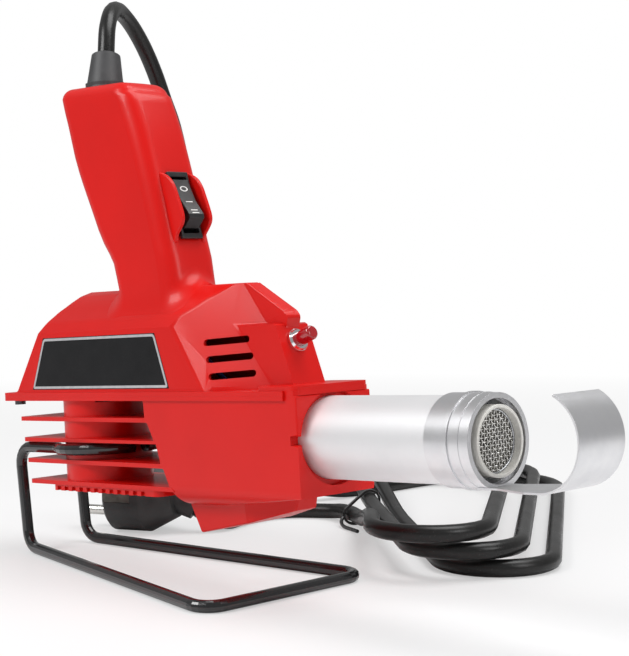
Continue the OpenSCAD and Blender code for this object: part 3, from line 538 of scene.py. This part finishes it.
@dataclass
class Studio:
    """Camera, floor and soft lights.

    Height and focal are in pixels of the photograph, the angles in degrees. Glow is how much
    of the floor the camera sees as plain white near the tool, which grows to all of it between
    the two distances of glow_from. Sky_light is the surround's strength as a light. Each lamp is
    a name, a place, the side of its square and its power.
    """

    height: int = 656
    focal: float = 1550.0
    azimuth: float = 45.5
    elevation: float = 2.84
    roll: float = -0.49
    spot: Triple = (0.44686, -0.4138, 0.1354)
    film: float = 36.0
    reach: float = 60.0
    floor_half: float = 12.0
    glow_from: tuple = (0.3, 1.1)
    glow: float = 0.45
    sky_light: float = 0.34
    aim: Triple = (0, 0, 0.08)
    lamps: tuple = (("key", (-0.35, -0.95, 1.0), 0.6, 11), ("top", (0.2, 0.35, 1.25), 0.8, 10),
                    ("side", (1.15, 0.15, 0.7), 0.5, 4))

    def camera(self) -> None:
        """Places the camera of the photograph."""
        a, e, r = (math.radians(v) for v in (self.azimuth, self.elevation, self.roll))
        level = Vector((math.cos(a), math.sin(a), 0))
        back = Vector((math.sin(a) * math.cos(e), -math.cos(a) * math.cos(e), math.sin(e)))
        rise = back.cross(level)
        right = math.cos(r) * level + math.sin(r) * rise
        up = back.cross(right)
        lens = bpy.data.cameras.new("camera")
        lens.sensor_fit = "VERTICAL"
        lens.sensor_height = self.film
        lens.lens = self.film * self.focal / self.height
        lens.clip_end = self.reach
        made = bpy.data.objects.new("camera", lens)
        bpy.context.scene.collection.objects.link(made)
        made.matrix_world = Matrix.Translation(self.spot) @ Matrix(
            (right, up, back)).transposed().to_4x4()
        bpy.context.scene.camera = made
        log.info("camera: %.1f mm", lens.lens)

    def floor(self) -> None:
        """A pale floor that keeps the object's shadow."""
        bm = bmesh.new()
        bmesh.ops.create_grid(bm, x_segments=4, y_segments=4, size=self.floor_half)
        mesh = bpy.data.meshes.new("floor")
        bm.to_mesh(mesh)
        bm.free()
        made = bpy.data.objects.new("floor", mesh)
        bpy.context.scene.collection.objects.link(made)
        white = bpy.data.materials.new("floor_white")
        board = Board(white)
        cloud = board.noise(board.place(), 0.8, 2)
        matte = board.principled(
            Base_Color=board.blend((0.86, 0.86, 0.865), (0.84, 0.84, 0.845), cloud),
            Roughness=0.45, Specular_IOR_Level=0.3)
        glow = board.node("ShaderNodeEmission", {}, {"Color": (1, 1, 1, 1), "Strength": 1.0})
        away = board.node(
            "ShaderNodeVectorMath", {"operation": "LENGTH"}, {0: board.place()}, "Value")
        share = away.between(*self.glow_from) * (1 - self.glow) + self.glow
        camera = board.node("ShaderNodeLightPath", {}, {}, "Is Camera Ray")
        board.end_in(board.node("ShaderNodeMixShader", {}, {0: share * camera, 1: matte, 2: glow}))
        mesh.materials.append(white)

    def lamp(self, name: str, spot: Triple, size: float, power: float) -> None:
        """A square soft box at a spot, aimed at the tool."""
        light = bpy.data.lights.new(name, "AREA")
        light.size = size
        light.energy = power
        made = bpy.data.objects.new(name, light)
        bpy.context.scene.collection.objects.link(made)
        turn = (Vector(self.aim) - Vector(spot)).to_track_quat("-Z", "Y")
        made.matrix_world = Matrix.Translation(spot) @ turn.to_matrix().to_4x4()

    def sky(self) -> None:
        """An even white surround."""
        world = bpy.data.worlds.new("surround")
        bpy.context.scene.world = world
        board = Board(world)
        seen = board.node("ShaderNodeLightPath", {}, {}, "Is Camera Ray")
        board.end_in(board.node("ShaderNodeBackground", {}, {
            "Color": (1, 1, 1, 1), "Strength": seen * (1 - self.sky_light) + self.sky_light}))

    def build(self) -> None:
        """Camera, floor, lamps and surround."""
        bpy.context.scene.view_settings.view_transform = "Standard"
        self.camera()
        self.floor()
        for lamp in self.lamps:
            self.lamp(*lamp)
        self.sky()


# ---------------------------------------------------------------- mains lead


@dataclass
class MainsLead:
    """The cord with its hank, tie and plug, in millimetres of the row frame.

    Routes repeat those of the part's source. Far and near are the centres and radii of the
    hank's round ends, step is how far each loop moves on and layer how far it climbs. Run_steps
    are the parts of one turn: half the far end, a run, the near end, a run, half the far end.
    Fineness is the steps between two points of a route.
    """

    diameter: float = 7.5
    leave: Triple = (-107.006, 3.258, 221.56)
    run: tuple = (
        (-107.1, 3.3, 221.8), (-108.1, 4.3, 225.9), (-111.2, 7.3, 234.5), (-116.4, 13, 241.6),
        (-123.2, 20.8, 245.8), (-130, 30, 245.8), (-135, 40, 241), (-138, 49, 232.5),
        (-139, 56, 221.5), (-138.4, 61, 209), (-136.6, 65.4, 195.4), (-135.4, 70.5, 173),
        (-136.6, 76, 150), (-140, 82, 125), (-144, 90, 100), (-148, 104, 72), (-151, 122, 45),
        (-152, 145, 22), (-149.5, 166, 9), (-146, 186, 4.4), (-143, 204, 3.8), (-141, 222, 3.8),
        (-141, 238.8, 3.8))
    last_run: tuple = (
        (-14.4, 73.3, 19.4), (-32, 89.7, 15.8), (-49.5, 106.1, 10.8), (-64.4, 119.4, 7.2),
        (-78.1, 129.8, 5.5), (-84.3, 133.8, 5.2), (-91.7, 135.8, 5.2))
    tail: tuple = (
        (-96.5, 136.75, 4.9), (-101.5, 136.8, 4.3), (-110.6, 133.7, 3.8), (-118.2, 127.5, 3.8),
        (-123.2, 119.3, 3.8), (-125.2, 109.9, 3.8), (-124.2, 100, 3.8), (-121.6, 91, 3.8),
        (-118.6, 82.5, 4), (-118.2, 75.2, 5.4), (-120.6, 69.9, 8.5), (-124.6, 66.8, 11.4))
    far: Triple = (-96, 247, 45)
    near: Triple = (34.6, 109.8, 24)
    step: tuple = (-7, -13)
    layer: float = 8.0
    loops: int = 3
    run_steps: tuple = (6, 3, 7, 5, 3)
    last_steps: int = 16
    fineness: int = 4
    floor: float = 3.8

    def belt(self, share: float) -> tuple[Vector, float, float]:
        """A place on one loop of the hank.

        Args:
            share: the turn's part, from 0 to 1, in the steps of the source.

        Returns:
            The point, the part of the length gone by, and how far it has climbed.
        """
        far, near = Vector(self.far[:2]), Vector(self.near[:2])
        wide, narrow = self.far[2], self.near[2]
        line = near - far
        lean = math.atan2(line.y, line.x)
        nip = math.asin((wide - narrow) / line.length)
        right, left = lean + math.pi / 2 - nip, lean - math.pi / 2 + nip
        run = line.length * math.cos(nip)

        def end(centre: Vector, radius: float, angle: float) -> Vector:
            """A point on one round end."""
            return centre + radius * Vector((math.cos(angle), math.sin(angle)))

        arcs = (wide * (math.pi - right), run, narrow * (right - left), run,
                wide * (math.pi + left))
        i, done, part = share * sum(self.run_steps), 0.0, 0
        while part < len(arcs) - 1 and i > self.run_steps[part]:
            i -= self.run_steps[part]
            done += arcs[part]
            part += 1
        f = i / self.run_steps[part]
        spot = (
            end(far, wide, math.pi + (right - math.pi) * f),
            end(far, wide, right).lerp(end(near, narrow, right), f),
            end(near, narrow, right + (left - right) * f),
            end(near, narrow, left).lerp(end(far, wide, left), f),
            end(far, wide, left + (-math.pi - left) * f))[part]
        # The climb takes the second half of the run back to the far end.
        climb = (0.0, 0.0, 0.0, min(max(2 * f - 1, 0), 1), 1.0)[part]
        return spot, (done + arcs[part] * f) / sum(arcs), climb * climb * (3 - 2 * climb)

    def hank(self) -> list[Vector]:
        """The hank's centre line, two points for each ring of the source."""
        line = [mm(self.run[-1][0], self.far[1] - self.diameter, self.floor)]
        whole = 2 * sum(self.run_steps)
        for k in range(self.loops):
            count = whole if k < self.loops - 1 else 2 * self.last_steps + 1
            for i in range(count):
                spot, gone, climb = self.belt(i / whole)
                x, y = spot + (k + gone) * Vector(self.step)
                line.append(mm(x, y, self.floor + self.layer * (k + climb)))
        return line

    def path(self) -> list[Vector]:
        """The whole centre line, from the strain relief to the plug."""
        run = smooth_line([mm(*p) for p in (self.leave,) + self.run[1:-1]], self.fineness)
        rest = smooth_line([mm(*p) for p in self.last_run + self.tail], self.fineness)
        return run + self.hank() + rest

    def cord(self) -> None:
        """The cord as a round curve that stands for the CAD's free stretches."""
        line = self.path()
        made = round_curve("mains_cord", [line], mm(self.diameter) / 2, fineness=4)
        made.data.materials.append(SHEATH.material())
        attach(made, Body.ROOT.value)
        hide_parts("cord_run", "cord_hank", "cord_tail")
        length = sum((b - a).length for a, b in zip(line, line[1:]))
        log.info("mains_cord: %.3f m", length)
        mm(self.diameter)

    def build(self) -> None:
        """Cord first, then the finishes of what is on it."""
        self.cord()
        dress(SHEATH, "cord_lead_in")
        dress(RELIEF, "strain_relief")
        dress(PLUG, "plug_body")
        dress(NICKEL, "plug_pins")
        dress(CONTACT, "plug_earth_contacts")
        dress(TIE, "cord_tie")


# ---------------------------------------------------------------- the tool


@dataclass
class Handle:
    """The grip's outer skin: a lofted, leaning section that flares into the roof.

    All sizes are millimetres in the housing's frame. Back and front give x for a level z, and
    roof gives z for a distance y from the middle, up to roof_edge. Half, corner and crown are
    the section's half width, corner radius and bulge. Flare is how high and how far the foot
    spreads, flare_hold what its sides keep back, and flare_levels its sections' heights over the
    roof. Top is the height, slope and start of the grip's end, and top_levels the first level
    and the step of the sections drawn in there. Hole is the switch's low and high level and half
    width, guard the outline of a cheek in x and z. Patch_at is where the roof patch has its rows.
    """

    back: tuple = ((30, 27.5), (49, 27.2), (57, 24.2), (66.9, 17.4), (77, 12.6), (100.3, 2.3),
                   (117, -2.3), (121, -3.6), (129.7, -6.0), (136, -7.6))
    front: tuple = ((30, 66.5), (54.4, 64.0), (63.6, 61.6), (78, 58.1), (94.8, 53.6), (112, 48.3),
                    (122.8, 43.9), (136, 38.6))
    roof: tuple = ((0, 45.2), (4.5, 43.6), (8.1, 40.9), (10.7, 38.4), (13.1, 35.8), (16.4, 32.6),
                   (19.2, 28), (19.8, 0))
    roof_edge: float = 19.7
    flat_roof: float = 44.1
    half: float = 14.0
    corner: float = 7.0
    least_corner: float = 1.2
    corner_steps: int = 8
    crown: float = 1.25
    crown_fade: float = 0.2
    front_part: float = 0.8
    back_part: float = 0.7
    flare: float = 8.0
    flare_hold: float = 0.8
    flare_levels: tuple = (-1.2, -0.3, 0.4, 1.2, 2.3, 3.8, 5.6, 8.0)
    roof_plan: float = 50.0
    levels: tuple = (56, 60, 63.78, 64.98, 71, 77, 84, 90.52, 91.7, 97, 104, 111, 118, 122.5, 126)
    top_round: float = 6.0
    top_steps: int = 7
    top: tuple = (134.3, 0.057, 0.5)
    top_levels: tuple = (130, 0.6)
    hole: tuple = (64.98, 90.52, 5.1)
    guard: tuple = ((50, 92.6), (55.6, 91.9), (60.5, 89.6), (63.6, 86), (65.6, 81.5), (67.4, 77),
                    (68.6, 73.2), (68.3, 70.4), (66.4, 67.8), (64.2, 65.4), (62.6, 62), (56, 60))
    cheeks: tuple = (("near", -8.3), ("far", 6.5))
    cheek_width: float = 1.8
    cheek_round: float = 0.55
    patch_at: tuple = (60, 66, 72, 77.4)
    patch_half: int = 13
    patch_drop: float = 0.03

    @staticmethod
    def look_up(table: Sequence[tuple], at: float) -> float:
        """A smooth value from a table of places and values.

        Args:
            table: pairs in rising order.
            at: the place.

        Returns:
            The value there.
        """
        n = len(table)
        i = max(k for k in range(n - 1) if k == 0 or table[k][0] <= at)
        (x1, y1), (x2, y2) = table[i], table[i + 1]
        w, slope = x2 - x1, (y2 - y1) / (x2 - x1)
        t = min(max((at - x1) / w, 0), 1)
        m1 = (y2 - table[i - 1][1]) / (x2 - table[i - 1][0]) if i else slope
        m2 = (table[i + 2][1] - y1) / (table[i + 2][0] - x1) if i + 2 < n else slope
        return ((2 * t ** 3 - 3 * t * t + 1) * y1 + (t ** 3 - 2 * t * t + t) * w * m1
                + (3 * t * t - 2 * t ** 3) * y2 + (t ** 3 - t * t) * w * m2)

    def ring(self, level: float, inset: float) -> list[tuple[Vector, Vector]]:
        """One section of the grip.

        Args:
            level: its height.
            inset: how far it is drawn in.

        Returns:
            Its points and outward directions in plan.
        """
        back = self.look_up(self.back, level) + inset
        front = self.look_up(self.front, level) - inset
        half, r = self.half - inset, max(self.corner - inset, self.least_corner)
        gap, flat = self.hole[2], half - r
        points = []

        def side(x: float, out: float, ys: Sequence[float]) -> None:
            """Points of the crowned front or back face."""
            for y in ys:
                rise = self.crown * (1 - (y / half) ** 2)
                way = Vector((out, 2 * self.crown * y / half ** 2, 0))
                points.append((Vector((x + out * rise, y, 0)), way.normalized()))

        def bend(x: float, y: float, start: int) -> None:
            """Points round one corner, the ends included."""
            for k in range(self.corner_steps + 1):
                a = math.radians(start + 90 * k / self.corner_steps)
                way = Vector((math.cos(a), math.sin(a), 0))
                share = max(abs(way.x) - self.crown_fade, 0) / (1 - self.crown_fade)
                lift = self.crown * (1 - (flat / half) ** 2) * share
                push = Vector((math.copysign(lift, way.x), 0, 0))
                points.append((Vector((x, y, 0)) + r * way + push, way))

        near, far = gap if flat > gap else flat * self.front_part, flat * self.back_part
        side(front, 1, [-near, 0, near])
        bend(front - r, flat, 0)
        bend(back + r, flat, 90)
        side(back, -1, [far, 0, -far])
        bend(back + r, -flat, 180)
        bend(front - r, -flat, 270)
        return points

    def over(self, spot: Vector) -> float:
        """The roof's height over a spot."""
        return self.look_up(self.roof, min(abs(spot.y), self.roof_edge))

    def rings(self) -> list[list[Vector]]:
        """All sections from the roof to the rounded top."""
        found = []
        plan = self.ring(self.roof_plan, 0)
        for d in self.flare_levels:
            row = []
            share = min(max(1 - d / self.flare, 0), 1)
            out = self.flare * (1 - math.sqrt(max(1 - share * share, 0)))
            for i in range(len(plan)):
                level = self.over(plan[i][0]) + d
                spot, way = self.ring(level, 0)[i]
                push = out * (1 - self.flare_hold * abs(way.y) ** 3) * way
                for _ in range(3):  # The level and the spot settle on each other.
                    level = self.over(spot + push) + d
                    spot, _ = self.ring(level, 0)[i]
                row.append(spot + push + Vector((0, 0, level)))
            found.append(row)
        for level in self.levels:
            found.append([spot + Vector((0, 0, level)) for spot, _ in self.ring(level, 0)])
        high, slope, start = self.top
        first, step = self.top_levels
        for k in range(1, self.top_steps + 1):
            a = math.radians(90 * k / self.top_steps)
            row = []
            for spot, _ in self.ring(first + step * k, self.top_round * (1 - math.cos(a))):
                z = high - slope * (spot.x - start) - self.top_round * (1 - math.sin(a))
                row.append(spot + Vector((0, 0, z)))
            found.append(row)
        return found

    def roof_patch(self, bm: bmesh.types.BMesh) -> None:
        """The roof under the flare's front, a hair below the moulding's own."""
        rows = []
        for x in self.patch_at:
            row = []
            for k in range(-2 * self.patch_half, 2 * self.patch_half + 1):
                y = k / 2
                near = max(i for i in range(len(self.roof) - 1) if self.roof[i][0] <= abs(y))
                (y1, z1), (y2, z2) = self.roof[near], self.roof[near + 1]
                z = min(z1 + (z2 - z1) * (abs(y) - y1) / (y2 - y1), self.flat_roof)
                row.append(bm.verts.new(mm(x, y, z - self.patch_drop)))
            rows.append(row)
        for one, two in zip(rows, rows[1:]):
            for i in range(len(one) - 1):
                bm.faces.new((one[i], two[i], two[i + 1], one[i + 1]))

    def skin(self) -> None:
        """The grip's skin with the switch's hole."""
        bm = bmesh.new()
        rows = [[bm.verts.new(mm(*spot)) for spot in row] for row in self.rings()]
        low, high, _ = self.hole
        count = len(rows[0])
        for below, above in zip(rows, rows[1:]):
            for i in range(count):
                k = (i + 1) % count
                level = (below[0].co.z + above[0].co.z) / 2
                # The first two faces of a row lie over the switch.
                if i > 1 or not mm(low) < level < mm(high):
                    bm.faces.new((below[i], below[k], above[k], above[i]))
        bm.faces.new(rows[-1])
        bmesh.ops.recalc_face_normals(bm, faces=bm.faces)
        self.roof_patch(bm)
        bmesh.ops.transform(bm, matrix=STANCE.tool(), verts=bm.verts)
        made = add_mesh("grip_skin", bm, RED, Body.ROOT)
        even_normals(made.data, limit=50, flat=1.0)

    def guards(self) -> None:
        """The two rounded cheeks beside the rocker."""
        for name, y in self.cheeks:
            bm = bmesh.new()
            line = smooth_line([mm(x, 0, z) for x, z in self.guard], steps=3)
            bm.faces.new([bm.verts.new(spot + mm(0, y, 0)) for spot in line])
            bm.normal_update()
            thicken(bm, mm(0, self.cheek_width, 0))
            rims = [e for e in bm.edges if e.calc_face_angle(0) > math.radians(RIM)]
            round_off(bm, rims, mm(self.cheek_round))
            bmesh.ops.transform(bm, matrix=STANCE.tool(), verts=bm.verts)
            made = add_mesh("rocker_cheek_" + name, bm, RED, Body.ROOT)
            even_normals(made.data)

    def build(self) -> None:
        """Skin and cheeks."""
        self.skin()
        self.guards()


@dataclass
class Housing:
    """The two red mouldings with label, grille and screws.

    Rounding, and short, the length of the shortest edge that is rounded, are in metres. The
    lower moulding and the grille take the given parts of the rounding. The rest is in
    millimetres of the housing's frame. Stub gives the x from and to and the z over which the
    source's grip leaves a stub below the cut: its side faces at stub_side and its front foot,
    given as x from and to and half width. Plate gives the label's distance from the middle, its
    lean in degrees and the height of its face.
    """

    rounding: float = 0.0011
    lower_part: float = 0.6
    grille_part: float = 0.3
    short: float = 0.004
    grip_from: float = 45.4
    stub: tuple = (24, 78, 33)
    stub_side: float = 12.5
    stub_foot: tuple = (60, 75, 12.6)
    label: tuple = ((-27.2, 3.5), (68.1, 3.5), (59.9, 25.5), (-18.3, 25.5))
    plate: tuple = (19.8, 88.36, 0.12)
    plate_corner: float = 1.4
    border: float = 1.05
    border_rise: float = 0.12

    def without_grip(self, bm: bmesh.types.BMesh) -> None:
        """Cuts off all that is higher than the roof, which Handle makes anew."""
        place = STANCE.tool()
        spot = place @ mm(0, 0, self.grip_from)
        bmesh.ops.bisect_plane(bm, geom=[*bm.verts, *bm.edges, *bm.faces], dist=SAME_SPOT,
                               plane_co=spot, plane_no=place.to_3x3() @ Vector((0, 0, 1)),
                               clear_outer=True)
        back, stub = place.inverted(), []
        rear, front, floor = self.stub
        foot_rear, foot_front, foot_half = self.stub_foot
        for face in bm.faces:
            c, n = back @ face.calc_center_median() * 1000, back.to_3x3() @ face.normal
            sideways, lengthways = abs(n.y) > 0.9, abs(n.x) > 0.05
            side = abs(abs(c.y) - self.stub_side) < 0.1 and sideways
            foot = (foot_rear < c.x < foot_front and abs(c.y) < foot_half
                    and (lengthways or sideways))
            if c.z > floor and rear < c.x < front and (side or foot):
                stub.append(face)
        bmesh.ops.delete(bm, geom=stub, context="FACES")

    def label_border(self) -> None:
        """A thin silver frame at the label plate's edge."""
        bm = bmesh.new()
        bm.faces.new([bm.verts.new(mm(x, y, 0)) for x, y in self.label])
        round_off(bm, list(bm.verts), mm(self.plate_corner), segments=4, affect="VERTICES")
        raised_frame(bm, mm(self.border), mm(self.border_rise))
        away, lean, face = self.plate
        place = (STANCE.tool() @ Matrix.Translation(mm(0, -away, 0))
                 @ Matrix.Rotation(math.radians(lean), 4, "X")
                 @ Matrix.Translation(mm(0, 0, face)))
        bmesh.ops.transform(bm, matrix=place, verts=bm.verts)
        add_mesh("label_border", bm, SILVER_INK, Body.ROOT)

    def build(self) -> None:
        """Rounded mouldings and their fittings."""
        softened("upper_housing", self.rounding, RED, Body.ROOT, self.short,
                 self.without_grip, clamp=False)
        Handle().build()
        softened("lower_housing", self.rounding * self.lower_part, RED, Body.ROOT,
                 self.short, clamp=False)
        softened("intake_grille", self.rounding * self.grille_part, RED, Body.ROOT,
                 self.short / 4)
        dress(DARK_STEEL, "housing_screws")
        dress(LABEL, "label_plate")
        self.label_border()


@dataclass
class SwitchAndLamp:
    """The rocker switch in the handle and the lamp over the barrel.

    Profile gives the rocker's surface as x and height in millimetres, and marks the x of each
    mark in order of its bars. The edges' roundings are in metres.
    """

    spot: Triple = (59.35, 0, 77.75)
    lean: float = 73.7
    frame_edge: float = 0.0004
    edge: float = 0.0005
    profile: tuple = ((-10.8, 2.4), (-1.0, 4.3), (6.2, 7.2))
    marks: dict = field(default_factory=lambda: {"nought": -6.4, "one": -0.1, "two": 4.9})
    ring_r: float = 1.45
    ring_width: float = 0.45
    ring_stretch: Triple = (0.9, 1.4, 1)
    ring_rise: float = 0.1
    bar: Triple = (0.5, 3.6, 0.12)
    bar_gap: float = 1.5
    bar_rise: float = 0.04
    bar_edge: float = 0.03

    def height(self, x: float) -> tuple[float, float]:
        """The rocker's surface at x, and its slope in radians."""
        a, b, c = self.profile
        low, high = (a, b) if x < b[0] else (b, c)
        slope = (high[1] - low[1]) / (high[0] - low[0])
        return low[1] + slope * (x - low[0]), math.atan(slope)

    def mark(self, name: str, x: float, bars: int) -> None:
        """A raised mark on the rocker: a ring for none, or bars across it."""
        bm = bmesh.new()
        if bars:
            for k in range(bars):
                step = (k - (bars - 1) / 2) * self.bar_gap
                made = bmesh.ops.create_cube(bm, size=1)
                bmesh.ops.scale(bm, vec=mm(*self.bar), verts=made["verts"])
                bmesh.ops.translate(bm, vec=mm(step, 0, self.bar_rise), verts=made["verts"])
            round_off(bm, list(bm.edges), mm(self.bar_edge), segments=1)
        else:
            bmesh.ops.create_circle(bm, segments=28, radius=mm(self.ring_r), cap_ends=True)
            raised_frame(bm, mm(self.ring_width), mm(self.ring_rise))
            bmesh.ops.scale(bm, vec=self.ring_stretch, verts=bm.verts)
        bmesh.ops.recalc_face_normals(bm, faces=bm.faces)
        rise, slope = self.height(x)
        place = (STANCE.at(self.spot, self.lean) @ Matrix.Translation(mm(x, 0, rise))
                 @ Matrix.Rotation(-slope, 4, "Y"))
        bmesh.ops.transform(bm, matrix=place, verts=bm.verts)
        add_mesh("rocker_mark_" + name, bm, MARK_WHITE, Body.ROCKER)

    def build(self) -> None:
        """Switch, marks and lamp."""
        softened("switch_frame", self.frame_edge, BLACK_SATIN, Body.ROOT)
        softened("rocker", self.edge, BLACK_SATIN, Body.ROCKER)
        dress(BLACK_SATIN, "switch_body")
        dress(BRASS, "switch_terminals")
        for bars, (name, x) in enumerate(self.marks.items()):
            self.mark(name, x, bars)
        dress(CHROME, "lamp_bezel")
        softened("lamp_lens", self.edge, LENS, Body.ROOT)
        dress(NYLON, "lamp_body")


@dataclass
class Nozzle:
    """Barrel, heater and the clip-on reflector.

    Sizes are millimetres along the barrel's axis, except the edges' roundings in metres. Wire
    and rim_wire are radii.
    """

    axis: Triple = (0, 0, -17)
    edge: float = 0.0002
    tube_edge: float = 0.0003
    mesh_at: float = 217.9
    mesh_r: float = 11.3
    pitch: float = 1.45
    wire: float = 0.28
    rim_r: float = 11.0
    rim_wire: float = 0.4
    rim_steps: int = 72

    def screen(self) -> None:
        """Woven wires over the tube's mouth, with their rim."""
        place = STANCE.at(self.axis, 90)
        runs = []
        count = int(self.mesh_r / self.pitch)
        for family in (0, 1):
            for i in range(-count, count + 1):
                side = i * self.pitch
                half = math.sqrt(self.mesh_r ** 2 - side ** 2)
                steps = int(2 * half / (self.pitch / 4))  # Four from wire to wire.
                run = []
                for k in range(steps + 1):
                    along = -half + 2 * half * k / steps
                    sign = 1 if (i + family) % 2 == 0 else -1
                    wave = sign * self.wire * math.cos(math.pi * along / self.pitch)
                    flat = (along, side) if family == 0 else (side, along)
                    run.append(place @ mm(*flat, self.mesh_at + wave))
                runs.append(run)
        screen = tube("woven_screen", runs, mm(self.wire), 0, MESH_WIRE, Body.ROOT)
        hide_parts("mesh_screen")
        angles = (2 * math.pi * k / self.rim_steps for k in range(self.rim_steps))
        ring = [place @ mm(self.rim_r * math.cos(t), self.rim_r * math.sin(t),
                           self.mesh_at + self.rim_wire) for t in angles]
        tube("screen_rim", [ring], mm(self.rim_wire), 1, STEEL, Body.ROOT,
             closed=True)

    def build(self) -> None:
        """Metal barrel, heater parts and reflector."""
        softened("barrel", self.edge, BARREL, Body.ROOT)
        softened("heater_tube", self.tube_edge, CERAMIC, Body.ROOT)
        dress(STEEL, "tube_spacers", "thermal_cutoff")
        dress(MICA, "element_former")
        dress(HOT_WIRE, "heating_coil")
        softened("reflector", self.edge, ROLLED, Body.REFLECTOR)
        self.screen()


@dataclass
class Inside:
    """The stand and the parts inside the housing."""

    finishes: dict = field(default_factory=lambda: {
        "wire_stand": STAND, "motor_can": STEEL, "motor_magnets": FERRITE,
        "motor_end_cap": BLACK_NYLON, "motor_brushes": CARBON, "bearings": BRONZE,
        "motor_mount": RELIEF, "motor_shaft": STEEL, "armature_core": STEEL,
        "armature_windings": COPPER, "commutator": COPPER, "impeller": BLACK_NYLON,
        "inner_leads": LEAD_BLUE})

    def build(self) -> None:
        """Gives each of them its finish."""
        for name, finish in self.finishes.items():
            dress(finish, name)
        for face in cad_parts["wire_stand"].data.polygons:
            face.use_smooth = True


def main() -> None:
    """Builds the scene in order: camera and cord first."""
    logging.basicConfig(level=logging.INFO, format="%(name)s %(message)s")
    Studio().build()
    for part in (MainsLead(), Housing(), SwitchAndLamp(), Nozzle(), Inside()):
        part.build()
        log.info("%s done", type(part).__name__)


if __name__ == "__main__":
    main()
